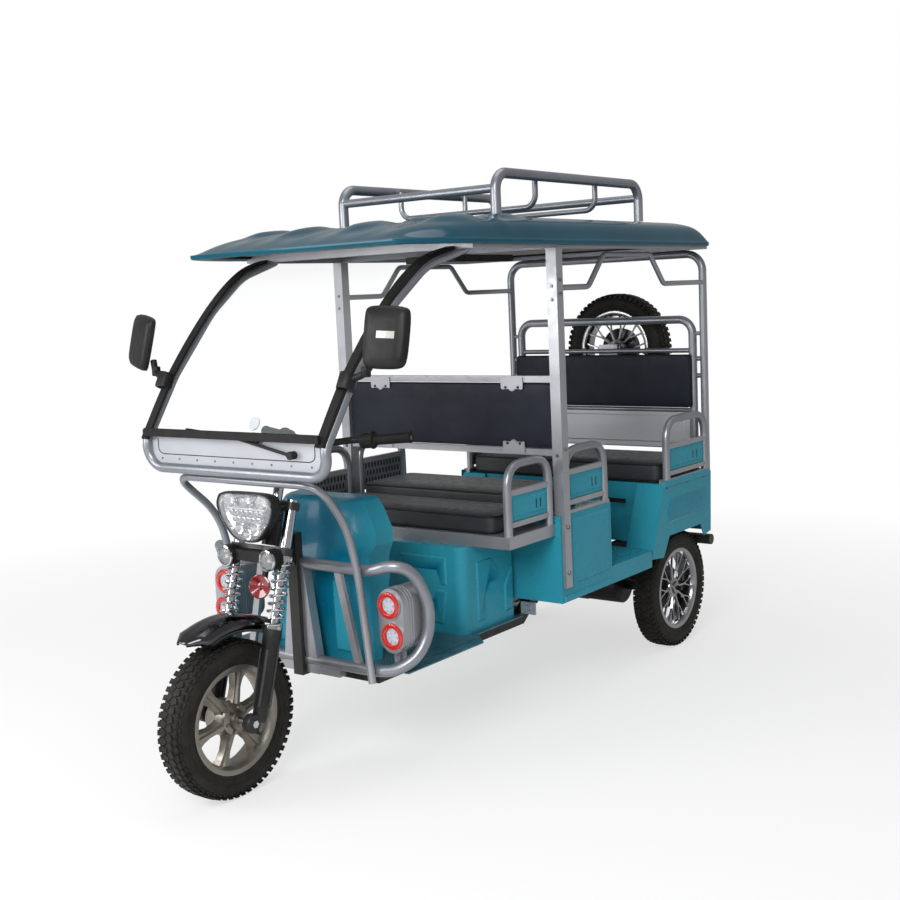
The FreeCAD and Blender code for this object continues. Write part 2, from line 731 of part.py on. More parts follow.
def backrest_frame():
    """Upper and lower rails of the shared backrest, from post to post."""
    bar = size("back_bar")
    reach = post_x - post_bar / 2
    rails = [brick((-reach, post_y - bar / 2, z - bar / 2), (reach, post_y + bar / 2, z + bar / 2))
             for z in (size("back_low"), size("back_high"))]
    tab = brick((255, post_y - 15, size("back_high") - 34), (345, post_y - 11, size("back_high") + 6))
    low_tab = tab.translated(Vector(0, 0, size("back_low") - size("back_high") + 28))
    return fused(rails + [tab, mirrored(tab), low_tab, mirrored(low_tab)])


bar = size("back_bar")
board_low = size("back_low") + bar / 2
board_high = size("back_high") - bar / 2
reach = post_x - post_bar / 2
board = brick((-reach, post_y - size("board") / 2, board_low),
              (reach, post_y + size("board") / 2, board_high))
keep_shape(board, "backrest_board")
keep_shape(backrest_frame().cut(board), "backrest_frame")

# ---- tail: body, bench, hoops and spare carrier ----

tail_back = rear_axle + size("tail_back")
tail_top = size("tail_top")
well = size("well_width") / 2


def tail_outline(inset):
    """Side view of the tail, with its wheel arch; inset moves the outer edges in."""
    return [(tail_face - 15 + inset, step_z - 32), (tail_face + inset, step_z + 4),
            (tail_face + size("tail_slope") + inset, tail_top - inset),
            (tail_back - inset, tail_top - inset), (tail_back - 10 - inset, step_z - 5),
            (rear_axle + 134, step_z - 16), (rear_axle + 106, size("arch_height")),
            (rear_axle - 167, size("arch_height")), (rear_axle - 220, step_z - 43)]


def rear_body():
    """Fender walls, sloped faces, seat box front, top and tail panel."""
    wall = size("wall")
    outer = side_plate(tail_outline(0), half, 2 * half)
    low = step_z - 60
    inner = [(tail_face - 15 + wall, low), (tail_face + wall, step_z + 4),
             (tail_face + size("tail_slope") + wall, tail_top - wall),
             (tail_back - wall, tail_top - wall), (tail_back - 10 - wall, low)]
    shell = outer.cut(side_plate(inner, half - wall, 2 * half - 2 * wall))
    box_y = tail_face + size("tail_slope") + 8
    mouth = brick((-well, tail_face - 40, step_z - 60), (well, box_y, tail_top + 1))
    front = brick((-well, box_y, step_z + plate), (well, box_y + wall, tail_top - wall))
    cheek = brick((well, tail_face + 2, step_z + plate), (well + wall, box_y + wall, tail_top - wall))
    cheek = cheek.common(side_plate(inner, half, 2 * half))
    deck_way = brick((-half + wall, tail_face - 40, step_z - 60), (half - wall, tail_face + 8, step_z + plate))
    return fused([shell.cut(mouth).cut(deck_way), front, cheek, mirrored(cheek)])


tail_shape = rear_body()
keep_shape(tail_shape, "rear_body")

hoop_y = rear_axle + size("hoop_back")
hoop_x = size("hoop_spread")
tube_r = size("frame_radius")
arm_r = size("arm_radius")


def rear_hoop():
    """Outer hoop from the tail top to the roof frame, with the spare's two bars."""
    top = frame_low - tube_r
    hoop = tube([(-hoop_x, hoop_y, tail_top), (-hoop_x, hoop_y, top), (hoop_x, hoop_y, top),
                 (hoop_x, hoop_y, tail_top)], tube_r, 70)
    bars = [tube([(-hoop_x, hoop_y, z), (hoop_x, hoop_y, z)], 10)
            for z in (size("spare_height") - 110, size("spare_height") - 40)]
    plate_half = 45
    middle = size("spare_side")
    carrier = brick((middle - plate_half, hoop_y + 6, size("spare_height") - 130),
                    (middle + plate_half, hoop_y + 12, size("spare_height") + 22))
    stub_end = spare_y - hub_half + 16
    stub = Part.makeCylinder(24, stub_end - hoop_y - 12,
                             Vector(middle, hoop_y + 12, size("spare_height")), Vector(0, 1, 0))
    return fused([hoop] + bars + [carrier, stub])


hoop_shape = rear_hoop()
keep_shape(hoop_shape, "rear_hoop")

inner_y = hoop_y - 2
inner_x = size("inner_spread")


def rear_backrest_frame():
    """Inner hoop that carries the passengers' back pad, its rails and a plain panel."""
    top = size("inner_hoop_top")
    hoop = tube([(-inner_x, inner_y, tail_top), (-inner_x, inner_y, top), (inner_x, inner_y, top),
                 (inner_x, inner_y, tail_top)], arm_r, 60)
    rails = [tube([(-inner_x, inner_y, z), (inner_x, inner_y, z)], 10)
             for z in (size("rear_pad_low") - 12, size("rear_pad_high") + 12)]
    panel = brick((-inner_x, inner_y - 2, tail_top + 90), (inner_x, inner_y + 1, size("rear_pad_low") - 12))
    ties = [tube([(inner_x, inner_y, z), (hoop_x, hoop_y, z)], 8) for z in (760, 1270)]
    ties += [mirrored(tie) for tie in ties]
    return fused([hoop] + rails + [panel] + ties).cut(hoop_shape)


inner_frame = rear_backrest_frame()
keep_shape(inner_frame, "rear_backrest_frame")
pad_reach = inner_x + 8
pad_front = inner_y - arm_r - size("seat_gap") - 30
keep_shape(brick((-pad_reach, pad_front, size("rear_pad_low")),
                 (pad_reach, pad_front + 30, size("rear_pad_high"))), "rear_back_pad")

keep_shape(brick((-half + 32, tail_face + size("tail_slope") + 16, tail_top + size("seat_gap")),
                 (half - 32, inner_y - arm_r - 6, tail_top + size("rear_cushion_height"))),
           "rear_cushion")

# ---- armrests and grab bars ----


def armrest(x, front, back, foot_z, top_z, bend):
    """A rounded hoop with a panel between its legs."""
    hoop = tube([(x, front, foot_z), (x, front, top_z), (x, back, top_z), (x, back, foot_z)],
                arm_r, bend)
    drop = (top_z - foot_z) * 0.66
    panel = brick((x - 3, front, foot_z + 20), (x + 3, back, foot_z + drop))
    return fused([hoop, panel])


arm_x = size("seat_frame_width") / 2 - 15
front_arm = armrest(arm_x, post_y - size("seat_frame_front") + 16, post_y - size("middle_front") - arm_r - 2,
                    size("seat_top"), 908, 56)
keep_shape(both_sides(front_arm), "front_armrests")
middle_arm = armrest(half - 20, post_y + post_bar / 2 + 18, middle_back - 16, size("middle_top"), 917, 56)
keep_shape(both_sides(middle_arm), "middle_armrests")
tail_arm = armrest(half - 14, tail_face + size("tail_slope") + 44, hoop_y - 22, tail_top, 944, 60)
keep_shape(both_sides(tail_arm.cut(hoop_shape)), "rear_armrests")


def grab_bar():
    """A bar with a raised middle between the middle post and the rear hoop."""
    start = post_y + post_bar / 2
    end = hoop_y
    low = roof_z - 142
    high = roof_z - 30
    low_run = 210
    points = [(hoop_x, start, low), (hoop_x, start + low_run, low), (hoop_x, start + low_run + 110, high),
              (hoop_x, end - low_run - 236, high), (hoop_x, end - low_run - 130, low), (hoop_x, end, low)]
    return tube(points, 10, 40).cut(hoop_shape)


bars = grab_bar()
keep_shape(both_sides(max(bars.Solids, key=lambda solid: solid.Volume)), "grab_bars")

# ---- roof: frame, canopy and rack ----

canopy_half = size("canopy_width") / 2
canopy_front = post_y - 785
canopy_back = tail_back + 12
screen_top_y = post_y - 450


def roof_frame():
    """Side rails and cross bars that tie the pillars, posts and hoop together."""
    bar = size("frame_bar")
    back = hoop_y + 3
    sides = brick((post_x - bar / 2, screen_top_y - bar, frame_low), (post_x + bar / 2, back, frame_top))
    crosses = [brick((-post_x, y - bar / 2, frame_low), (post_x, y + bar / 2, frame_top))
               for y in (screen_top_y - bar / 2, post_y, back - bar / 2)]
    return fused([sides, mirrored(sides)] + crosses)


frame_shape = roof_frame()
keep_shape(frame_shape, "roof_frame")


def canopy_wire(z, inset, nose_inset):
    wide = canopy_half - inset
    nose = wide - 80
    front = canopy_front + nose_inset
    back = canopy_back - inset
    places = [Vector(-nose, front, z), Vector(nose, front, z), Vector(wide, front + 190, z),
              Vector(wide, back - 12, z), Vector(wide - 12, back, z), Vector(-wide + 12, back, z),
              Vector(-wide, back - 12, z), Vector(-wide, front + 190, z)]
    return Part.makePolygon(places + [places[0]])


def roof_canopy():
    """The moulded roof: a shallow dished form with a lip that hangs round the frame."""
    top = roof_z + size("canopy_height")
    slope = size("canopy_slope")
    form = Part.makeLoft([canopy_wire(roof_z, 0, 0), canopy_wire(roof_z + 20, 4, 6),
                          canopy_wire(top - 40, 52, slope * 0.5), canopy_wire(top, 120, slope)],
                         True, True)
    room = Part.makeLoft([canopy_wire(roof_z - 1, 14, 14), canopy_wire(frame_top, 14, 14)], True, True)
    return form.cut(room)


keep_shape(roof_canopy(), "roof_canopy")

keep_shape(brick((-110, post_y - 60, frame_low - 25), (110, post_y + 300, frame_low - 0.2)).cut(posts),
           "roof_speaker")


def rack_place():
    return rear_axle - size("rack_start") + 34


def luggage_rack():
    """Two side hoops, end bars and two slung floor bars on the roof."""
    x = size("rack_width") / 2
    front = rack_place()
    back = front + size("rack_length")
    base = roof_z + size("canopy_height")
    top = base + size("rack_height") - size("rack_radius")
    r = size("rack_radius")
    side = tube([(x, front, base), (x, front, top), (x, back, top), (x, back, base)], r, 60)
    ends = [tube([(-x, y, base + 90), (x, y, base + 90)], r - 3) for y in (front, back)]
    dip = base + 40
    floor_bars = []
    for share in (0.3, 0.72):
        y = front + share * size("rack_length")
        floor_bars.append(tube([(-x + 34, y, top), (-x + 34, y, dip), (x - 34, y, dip), (x - 34, y, top)],
                               size("rack_bar_radius"), 44))
        for s in (-1, 1):
            floor_bars.append(tube([(s * x, y, top), (s * (x - 34), y, top)], size("rack_bar_radius")))
    return fused([side, mirrored(side)] + ends + floor_bars)


keep_shape(luggage_rack(), "luggage_rack")

# ---- dash, windscreen and mirrors ----

dash_y = front_axle + size("dash_ahead")
dash_half = size("dash_width") / 2
dash_base = size("dash_base")
dash_top = size("dash_top")


def screen_points():
    """Side view of the pillars, from the dash up to the roof frame."""
    rise = frame_low - dash_base
    run = screen_top_y - dash_y
    shares = [(-0.016, 0.13), (0.205, 0.44), (0.50, 0.745), (0.76, 0.925), (1.06, 1.005)]
    return [(dash_y + run * a, dash_base + rise * b) for a, b in shares]


def screen_widths():
    wide = size("screen_top_width") / 2
    return [dash_half + (wide - dash_half) * share for share in (0, 0.1, 0.25, 0.5, 1)]


def windscreen_frame():
    """One tube: up the left pillar from the roof, under the dash and back up."""
    pillar = [(x, y, z) for x, (y, z) in zip(screen_widths(), screen_points())]
    down = list(reversed(pillar)) + [(dash_half, dash_y, dash_base)]
    up = [(-x, y, z) for x, y, z in reversed(down)]
    radii = [250, 300, 300, 60, 62, 62, 60, 300, 300, 250]
    return tube(down + up, tube_r, radii).cut(frame_shape)


screen_frame = windscreen_frame()
keep_shape(max(screen_frame.Solids, key=lambda solid: solid.Volume), "windscreen_frame")


def glass_sheet(low_z, inset, thick):
    """A sheet that follows the pillars, between them, upward from a height."""
    places = [Vector(0, y, z) for y, z in screen_points()]
    path = bent_path([tuple(p) for p in places], [250, 300, 300])
    wide = dash_half - inset
    ribbon = path.extrude(Vector(wide * 2, 0, 0))
    ribbon.translate(Vector(-wide, 0, 0))
    sheet_solid = ribbon.makeOffsetShape(thick, 0.01, fill=True)
    keep_box = brick((-wide - 5, dash_y - 200, low_z), (wide + 5, screen_top_y + 200, frame_low - 8))
    return sheet_solid.common(keep_box)


screen_low = screen_points()[0]
keep_shape(brick((-dash_half + tube_r, dash_y - 2, dash_base + tube_r - 4),
                 (dash_half - tube_r, dash_y + 2, screen_low[1] + 22)).cut(screen_frame), "dash_panel")
glass_shape = glass_sheet(screen_low[1] + 24, tube_r - 2, size("glass"))
keep_shape(max(glass_shape.cut(screen_frame).Solids, key=lambda solid: solid.Volume), "windscreen_glass")


def wiper():
    """Motor boss, arm and blade along the foot of the glass."""
    y = dash_y - 2
    boss = Part.makeCylinder(12, 22, Vector(256, y - 22, screen_low[1] - 20), Vector(0, 1, 0))
    arm = tube([(256, y - 16, screen_low[1] - 20), (60, y - 10, screen_low[1] + 16),
                (-30, y - 14, screen_low[1] + 34)], 5, 30)
    blade = tube([(-190, y - 8, screen_low[1] + 40), (120, y - 8, screen_low[1] + 16)], 6)
    return fused([boss, arm, blade])


keep_shape(wiper(), "wiper")


def mirror(side, head_x, head_y, turn):
    """Pillar clamp, bent arm and a flat head."""
    clamp_at = Vector(side * (dash_half + 8), dash_y + 90, 1238)
    clamp = Part.makeCylinder(26, 50, clamp_at - Vector(0, 14, 22), Vector(0, 0.45, 0.89))
    elbow = (side * (head_x - 10), head_y - 14, 1250)
    arm = tube([(side * dash_half, clamp_at.y, clamp_at.z), elbow, (side * head_x, head_y, 1300)], 8, 20)
    head = brick((-76, -14, -91), (76, 14, 91))
    uprights = [edge for edge in head.Edges if abs(edge.tangentAt(edge.FirstParameter).y) > 0.9]
    head = head.makeFillet(26, uprights)
    head.rotate(Vector(0, 0, 0), Vector(1, 0, 0), -10)
    head.rotate(Vector(0, 0, 0), Vector(0, 0, 1), turn)
    head.translate(Vector(side * head_x, head_y, 1361))
    return fused([clamp, arm, head]).cut(screen_frame)


both_mirrors = [mirror(1, 530, post_y - 952, 6), mirror(-1, 530, post_y - 938, -18)]
keep_shape(Part.makeCompound([max(m.Solids, key=lambda solid: solid.Volume) for m in both_mirrors]),
           "mirrors")

# ---- running gear and tail fittings ----


def rear_axle_beam():
    """Axle tube with stub ends, the drive case and the motor."""
    inner = rear_wheel_x - hub_half - 6
    beam = Part.makeCylinder(size("axle_radius"), 2 * inner, Vector(-inner, rear_axle, radius), Vector(1, 0, 0))
    stub_reach = rear_wheel_x + hub_half
    stub = Part.makeCylinder(size("spindle_radius"), 2 * stub_reach, Vector(-stub_reach, rear_axle, radius),
                             Vector(1, 0, 0))
    case = Part.makeCylinder(92, 110, Vector(-95, rear_axle, radius), Vector(1, 0, 0))
    motor = Part.makeCylinder(size("motor_radius"), 190, Vector(15, rear_axle - 40, radius), Vector(1, 0, 0))
    return fused([beam, stub, case, motor])


axle_shape = rear_axle_beam()
keep_shape(axle_shape, "rear_axle")


def leaf_spring():
    """A bowed pack of leaves with an eye at each end and hangers to the rail."""
    x = rail_x
    pad_z = radius + size("axle_radius")
    top = step_z - rail_h
    front = rear_axle - 320
    back = rear_axle + 140
    eye_z = top - 44
    pack = slab_outline([(x - 24, front, eye_z - 8), (x - 24, rear_axle - 90, pad_z),
                         (x - 24, rear_axle + 60, pad_z), (x - 24, back, eye_z - 8),
                         (x - 24, back, eye_z + 8), (x - 24, rear_axle + 60, pad_z + 26),
                         (x - 24, rear_axle - 90, pad_z + 26), (x - 24, front, eye_z + 8)], (48, 0, 0))
    eyes = [Part.makeCylinder(15, 48, Vector(x - 24, y, eye_z), Vector(1, 0, 0)) for y in (front, back)]
    hangers = [brick((x - 20, y - 18, eye_z), (x + 20, y + 18, top)) for y in (front, back)]
    return fused([pack] + eyes + hangers)


keep_shape(both_sides(leaf_spring().cut(axle_shape)), "leaf_springs")

bumper_z = 406
bumper_y = tail_back + 16
bumper_r = size("bumper_radius")
bumper_reach = half - 10
end_length = size("bumper_end")
bumper = Part.makeCylinder(bumper_r, 2 * (bumper_reach - end_length),
                           Vector(end_length - bumper_reach, bumper_y, bumper_z), Vector(1, 0, 0))
sleeve = Part.makeCylinder(bumper_r + 1, end_length,
                           Vector(bumper_reach - end_length, bumper_y, bumper_z), Vector(1, 0, 0))
arms = [brick((s * rail_x - 18, rear_axle + 160, bumper_z - 16), (s * rail_x + 18, bumper_y, bumper_z + 16))
        for s in (-1, 1)]
keep_shape(fused([bumper, sleeve, mirrored(sleeve)] + arms).cut(chassis_shape), "rear_bumper")

tail_lamp = brick((half - 150, tail_back - 8, 545), (half - 40, tail_back + 24, 615))
tail_lamp = max(tail_lamp.cut(tail_shape).Solids, key=lambda solid: solid.Volume)
keep_shape(both_sides(tail_lamp), "tail_lamps")

# ---- check and write ----

doc.recompute()
faults = []
for item in doc.Objects:
    if "Invalid" in item.State or "Error" in item.State:
        faults.append("%s: %s" % (item.Label, item.State))
for piece in PARTS:
    shape = piece.Shape
    if shape.isNull() or not shape.isValid() or not shape.Solids:
        faults.append("%s: bad shape" % piece.Label)
if faults:
    raise RuntimeError("; ".join(faults))

os.makedirs("parts", exist_ok=True)
for piece in PARTS:
    piece.Shape.exportStep("parts/%s.step" % piece.Label)
    print("%-22s solids %d volume %.0f" % (piece.Label, len(piece.Shape.Solids), piece.Shape.Volume))
print("%d sub-parts" % len(PARTS))
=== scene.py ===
import bpy
import bmesh
import json
import math
import random
from mathutils import Matrix, Vector


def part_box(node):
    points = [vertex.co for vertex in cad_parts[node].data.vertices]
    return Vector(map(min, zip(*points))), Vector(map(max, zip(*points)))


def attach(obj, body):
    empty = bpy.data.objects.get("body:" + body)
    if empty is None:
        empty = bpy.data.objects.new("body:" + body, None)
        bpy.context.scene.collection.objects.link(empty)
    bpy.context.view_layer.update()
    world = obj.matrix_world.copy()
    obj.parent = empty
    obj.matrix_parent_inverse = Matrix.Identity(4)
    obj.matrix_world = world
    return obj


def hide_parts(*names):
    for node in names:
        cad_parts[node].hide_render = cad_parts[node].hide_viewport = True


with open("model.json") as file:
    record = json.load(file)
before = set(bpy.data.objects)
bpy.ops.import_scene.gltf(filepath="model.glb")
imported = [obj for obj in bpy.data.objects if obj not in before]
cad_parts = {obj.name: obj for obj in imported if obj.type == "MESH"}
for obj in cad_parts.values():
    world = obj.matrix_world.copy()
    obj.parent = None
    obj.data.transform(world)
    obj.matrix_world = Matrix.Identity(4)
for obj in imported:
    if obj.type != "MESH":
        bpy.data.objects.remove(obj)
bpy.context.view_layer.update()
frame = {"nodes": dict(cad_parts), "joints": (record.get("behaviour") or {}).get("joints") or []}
random.seed(11)
scene = bpy.context.scene
scene.view_settings.view_transform = "Standard"
print("frame loaded")


# ---- small tools for making meshes ----

def makeObject(name, bm, material, body, smoothAngle=35):
    mesh = bpy.data.meshes.new(name)
    bmesh.ops.recalc_face_normals(bm, faces=bm.faces[:])
    bm.to_mesh(mesh)
    bm.free()
    mesh.materials.append(material)
    obj = bpy.data.objects.new(name, mesh)
    scene.collection.objects.link(obj)
    smoothMesh(mesh, smoothAngle)
    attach(obj, body)
    return obj


def smoothMesh(mesh, angle):
    mesh.polygons.foreach_set("use_smooth", [True] * len(mesh.polygons))
    mesh.set_sharp_from_angle(angle=math.radians(angle))


def addBox(bm, low, high, matrix=None, slotIndex=0):
    corners = [Vector((x, y, z)) for x in (low[0], high[0]) for y in (low[1], high[1]) for z in (low[2],
            high[2])]
    if matrix is not None:
        corners = [matrix @ c for c in corners]
    v = [bm.verts.new(c) for c in corners]
    for loop in ((0, 1, 3, 2), (4, 6, 7, 5), (0, 4, 5, 1), (2, 3, 7, 6), (0, 2, 6, 4), (1, 5, 7, 3)):
        face = bm.faces.new([v[i] for i in loop])
        face.material_index = slotIndex
    return v


def bevelled(bm, width, segments=2, angle=30):
    edges = [e for e in bm.edges if len(e.link_faces) == 2 and e.calc_face_angle(0) > math.radians(angle)]
    bmesh.ops.bevel(bm, geom=edges, offset=width, segments=segments, profile=0.6, affect="EDGES",
            clamp_overlap=True)


def addLathe(bm, profile, matrix, steps=48, slotIndex=0, closed=True):
    # profile is (radius, along) pairs, turned about the matrix's Z axis
    rings = []
    for r, along in profile:
        if r < 1e-6:
            rings.append([bm.verts.new(matrix @ Vector((0, 0, along)))])
        else:
            rings.append([bm.verts.new(matrix @ Vector((r * math.cos(a), r * math.sin(a), along)))
                          for a in (2 * math.pi * i / steps for i in range(steps))])
    pairs = list(zip(rings, rings[1:]))
    if closed:
        pairs.append((rings[-1], rings[0]))
    for a, b in pairs:
        for i in range(steps):
            j = (i + 1) % steps
            if len(a) == 1 and len(b) == 1:
                continue
            if len(a) == 1:
                face = bm.faces.new((a[0], b[j], b[i]))
            elif len(b) == 1:
                face = bm.faces.new((a[i], a[j], b[0]))
            else:
                face = bm.faces.new((a[i], a[j], b[j], b[i]))
            face.material_index = slotIndex
    return rings


def addTube(bm, points, radius, steps=12, closed=False, slotIndex=0):
    # a round bar through points, with frames carried along so it doesn't twist
    points = [Vector(p) for p in points]
    count = len(points)
    ways = []
    for i in range(count):
        before = points[i - 1] if (i or closed) else points[i]
        after = points[(i + 1) % count] if (i < count - 1 or closed) else points[i]
        ways.append((after - before).normalized())
    side = ways[0].orthogonal().normalized()
    rings = []
    for i in range(count):
        side = (side - ways[i] * side.dot(ways[i])).normalized()
        other = ways[i].cross(side)
        r = radius[i] if isinstance(radius, (list, tuple)) else radius
        rings.append([bm.verts.new(points[i] + (side * math.cos(a) + other * math.sin(a)) * r)
                      for a in (2 * math.pi * k / steps for k in range(steps))])
    pairs = list(zip(rings, rings[1:]))
    if closed:
        pairs.append((rings[-1], rings[0]))
    for a, b in pairs:
        for k in range(steps):
            m = (k + 1) % steps
            face = bm.faces.new((a[k], a[m], b[m], b[k]))
            face.material_index = slotIndex
    if not closed:
        for ring in (rings[0], rings[-1]):
            face = bm.faces.new(ring)
            face.material_index = slotIndex


def along(way, place, spin=0.0):
    # a matrix whose Z axis points along way
    return Matrix.Translation(Vector(place)) @ Vector(way).to_track_quat("Z",
            "Y").to_matrix().to_4x4() @ Matrix.Rotation(spin, 4, "Z")


def roundedPath(points, bend, cuts=6):
    # straight runs with a rounded corner at each inner point
    points = [Vector(p) for p in points]
    out = [points[0]]
    for before, here, after in zip(points, points[1:], points[2:]):
        a = here + (before - here).normalized() * min(bend, (before - here).length * 0.48)
        b = here + (after - here).normalized() * min(bend, (after - here).length * 0.48)
        for i in range(cuts + 1):
            t = i / cuts
            out.append(a * (1 - t) ** 2 + here * 2 * t * (1 - t) + b * t ** 2)
    out.append(points[-1])
    return out


def smoothPath(points, cuts=8, closed=False):
    # a curve that passes through every point
    points = [Vector(p) for p in points]
    count = len(points)
    out = []
    for i in range(count if closed else count - 1):
        a, b, c, d = (points[(i + k) % count] if closed else points[min(max(i + k, 0),
                count - 1)] for k in (-1, 0, 1, 2))
        for k in range(cuts):
            t = k / cuts
            slope, curve, twist = c - a, a * 2 - b * 5 + c * 4 - d, b * 3 - a - c * 3 + d
            out.append((b * 2 + slope * t + curve * t * t + twist * t ** 3) * 0.5)
    if not closed:
        out.append(points[-1])
    return out


# ---- materials ----

def newMaterial(name, colour, roughness=0.5, metallic=0.0, shine=0.5):
    material = bpy.data.materials.new(name)
    material.use_nodes = True
    shader = material.node_tree.nodes["Principled BSDF"]
    shader.inputs["Base Color"].default_value = (*colour, 1)
    shader.inputs["Roughness"].default_value = roughness
    shader.inputs["Metallic"].default_value = metallic
    shader.inputs["Specular IOR Level"].default_value = shine
    return material, material.node_tree, shader


def objectNoise(tree, scale, detail=3.0, rough=0.55, stretch=(1, 1, 1)):
    place = tree.nodes.new("ShaderNodeTexCoord")
    mapping = tree.nodes.new("ShaderNodeMapping")
    mapping.inputs["Scale"].default_value = stretch
    noise = tree.nodes.new("ShaderNodeTexNoise")
    noise.inputs["Scale"].default_value = scale
    noise.inputs["Detail"].default_value = detail
    noise.inputs["Roughness"].default_value = rough
    tree.links.new(place.outputs["Object"], mapping.inputs["Vector"])
    tree.links.new(mapping.outputs["Vector"], noise.inputs["Vector"])
    return noise.outputs["Fac"]


def ranged(tree, value, low, high, fromLow=0.3, fromHigh=0.7):
    node = tree.nodes.new("ShaderNodeMapRange")
    node.inputs["From Min"].default_value = fromLow
    node.inputs["From Max"].default_value = fromHigh
    node.inputs["To Min"].default_value = low
    node.inputs["To Max"].default_value = high
    tree.links.new(value, node.inputs["Value"])
    return node.outputs["Result"]


def mixColour(tree, factor, first, second):
    node = tree.nodes.new("ShaderNodeMix")
    node.data_type = "RGBA"
    for socket, colour in ((node.inputs[6], first), (node.inputs[7], second)):
        if isinstance(colour, tuple):
            socket.default_value = (*colour, 1)
        else:
            tree.links.new(colour, socket)
    tree.links.new(factor, node.inputs[0])
    return node.outputs[2]


def addBump(tree, shader, height, strength, distance):
    bump = tree.nodes.new("ShaderNodeBump")
    bump.inputs["Strength"].default_value = strength
    bump.inputs["Distance"].default_value = distance
    tree.links.new(height, bump.inputs["Height"])
    tree.links.new(bump.outputs["Normal"], shader.inputs["Normal"])


# pointiness mask of convex edges, used for the painted edge highlight
def edgeHighlightMask(tree, low=0.52, high=0.6):
    geometry = tree.nodes.new("ShaderNodeNewGeometry")
    return ranged(tree, geometry.outputs["Pointiness"], 0.0, 1.0, low, high)


# edge is the painted highlight colour that convex edges are mixed towards
def paintMaterial(name, colour, edge, gloss, coat, orangePeel=0.02, dust=0.05, metallic=0.0,
        shine=0.14):
    material, tree, shader = newMaterial(name, colour, gloss, metallic, shine)
    slow = objectNoise(tree, 5.0, 2.0)
    deeper = tuple(c * 0.78 for c in colour)
    tone = mixColour(tree, ranged(tree, slow, 0, 1), deeper, colour)
    # convex edges turn towards the edge colour: a painted highlight along the edges
    edgeHighlighted = mixColour(tree, ranged(tree, edgeHighlightMask(tree), 0.0, 0.5, 0, 1), tone, edge)
    tree.links.new(edgeHighlighted, shader.inputs["Base Color"])
    tree.links.new(ranged(tree, objectNoise(tree, 22.0, 4.0), gloss, gloss + dust),
            shader.inputs["Roughness"])
    shader.inputs["Coat Weight"].default_value = coat
    shader.inputs["Coat Roughness"].default_value = 0.06
    addBump(tree, shader, objectNoise(tree, 260.0, 2.0), orangePeel, 0.002)
    return material


def metalMaterial(name, colour, roughness, grain, spread=0.12):
    material, tree, shader = newMaterial(name, colour, roughness, 1.0)
    tone = mixColour(tree, ranged(tree, objectNoise(tree, 14.0, 3.0), 0, 1),
            tuple(c * 0.8 for c in colour), colour)
    tree.links.new(tone, shader.inputs["Base Color"])
    tree.links.new(ranged(tree, objectNoise(tree, 60.0, 4.0), roughness, roughness + spread),
            shader.inputs["Roughness"])
    addBump(tree, shader, objectNoise(tree, 420.0, 2.0), grain, 0.001)
    return material


def grainMaterial(name, colour, light, roughness, scale, strength, sheen=0.0, shine=0.2):
    material, tree, shader = newMaterial(name, colour, roughness, 0.0, shine)
    place = tree.nodes.new("ShaderNodeTexCoord")
    cells = tree.nodes.new("ShaderNodeTexVoronoi")
    cells.inputs["Scale"].default_value = scale
    tree.links.new(place.outputs["Object"], cells.inputs["Vector"])
    tone = mixColour(tree, ranged(tree, objectNoise(tree, 9.0, 4.0), 0, 1), colour, light)
    tree.links.new(tone, shader.inputs["Base Color"])
    tree.links.new(ranged(tree, objectNoise(tree, 40.0, 3.0), roughness - 0.06, roughness + 0.1),
            shader.inputs["Roughness"])
    shader.inputs["Sheen Weight"].default_value = sheen
    addBump(tree, shader, ranged(tree, cells.outputs["Distance"], 0, 1, 0, 0.6), strength, 0.0006)
    return material


# the third colour of each paint is its painted edge highlight
tealPaint = paintMaterial("tealPaint", (0.001, 0.142, 0.238), (0.05, 0.40, 0.50), 0.24, 0.10)
roofGelcoat = paintMaterial("roofGelcoat", (0.001, 0.056, 0.092), (0.02, 0.16, 0.22), 0.12, 0.14, 0.04)
silverPaint = paintMaterial("silverPaint", (0.27, 0.285, 0.315), (0.5, 0.5, 0.52), 0.30, 0.2, 0.05,
        0.14, 0.7)
dashSilver = paintMaterial("dashSilver", (0.33, 0.36, 0.405), (0.5, 0.5, 0.52), 0.38, 0.15, 0.04, 0.12,
        0.4)
paleSilver = paintMaterial("paleSilver", (0.44, 0.465, 0.51), (0.6, 0.6, 0.62), 0.34, 0.15, 0.04, 0.12,
        0.4)
slotPlate = paintMaterial("slotPlate", (0.14, 0.15, 0.16), (0.3, 0.3, 0.3), 0.34, 0.1, 0.04, 0.12, 0.6)
blackFrame = paintMaterial("blackFrame", (0.008, 0.008, 0.009), (0.05, 0.048, 0.045), 0.34, 0.15, 0.1,
        0.2, 0.0, 0.25)
chromePlate = metalMaterial("chromePlate", (0.62, 0.62, 0.64), 0.07, 0.02, 0.08)
darkChrome = metalMaterial("darkChrome", (0.085, 0.085, 0.09), 0.10, 0.03, 0.1)
rimChrome = metalMaterial("rimChrome", (0.36, 0.36, 0.37), 0.13, 0.05, 0.12)
boltSteel = metalMaterial("boltSteel", (0.20, 0.20, 0.21), 0.3, 0.1, 0.1)
castAlloy = metalMaterial("castAlloy", (0.30, 0.28, 0.245), 0.30, 0.3, 0.2)
blackPlastic = grainMaterial("blackPlastic", (0.008, 0.008, 0.009), (0.016, 0.016, 0.017), 0.40, 900.0,
        0.15)
blackRubber = grainMaterial("blackRubber", (0.007, 0.007, 0.007), (0.015, 0.015, 0.014), 0.55, 500.0,
        0.12)
benchVinyl = grainMaterial("benchVinyl", (0.018, 0.020, 0.023), (0.030, 0.033, 0.037), 0.38, 700.0, 0.3,
        0.05, 0.35)
boardVinyl = grainMaterial("boardVinyl", (0.008, 0.010, 0.018), (0.013, 0.016, 0.026), 0.42, 1100.0,
        0.2, 0.03, 0.18)
roofLining = grainMaterial("roofLining", (0.20, 0.195, 0.185), (0.27, 0.26, 0.245), 0.7, 200.0, 0.2)


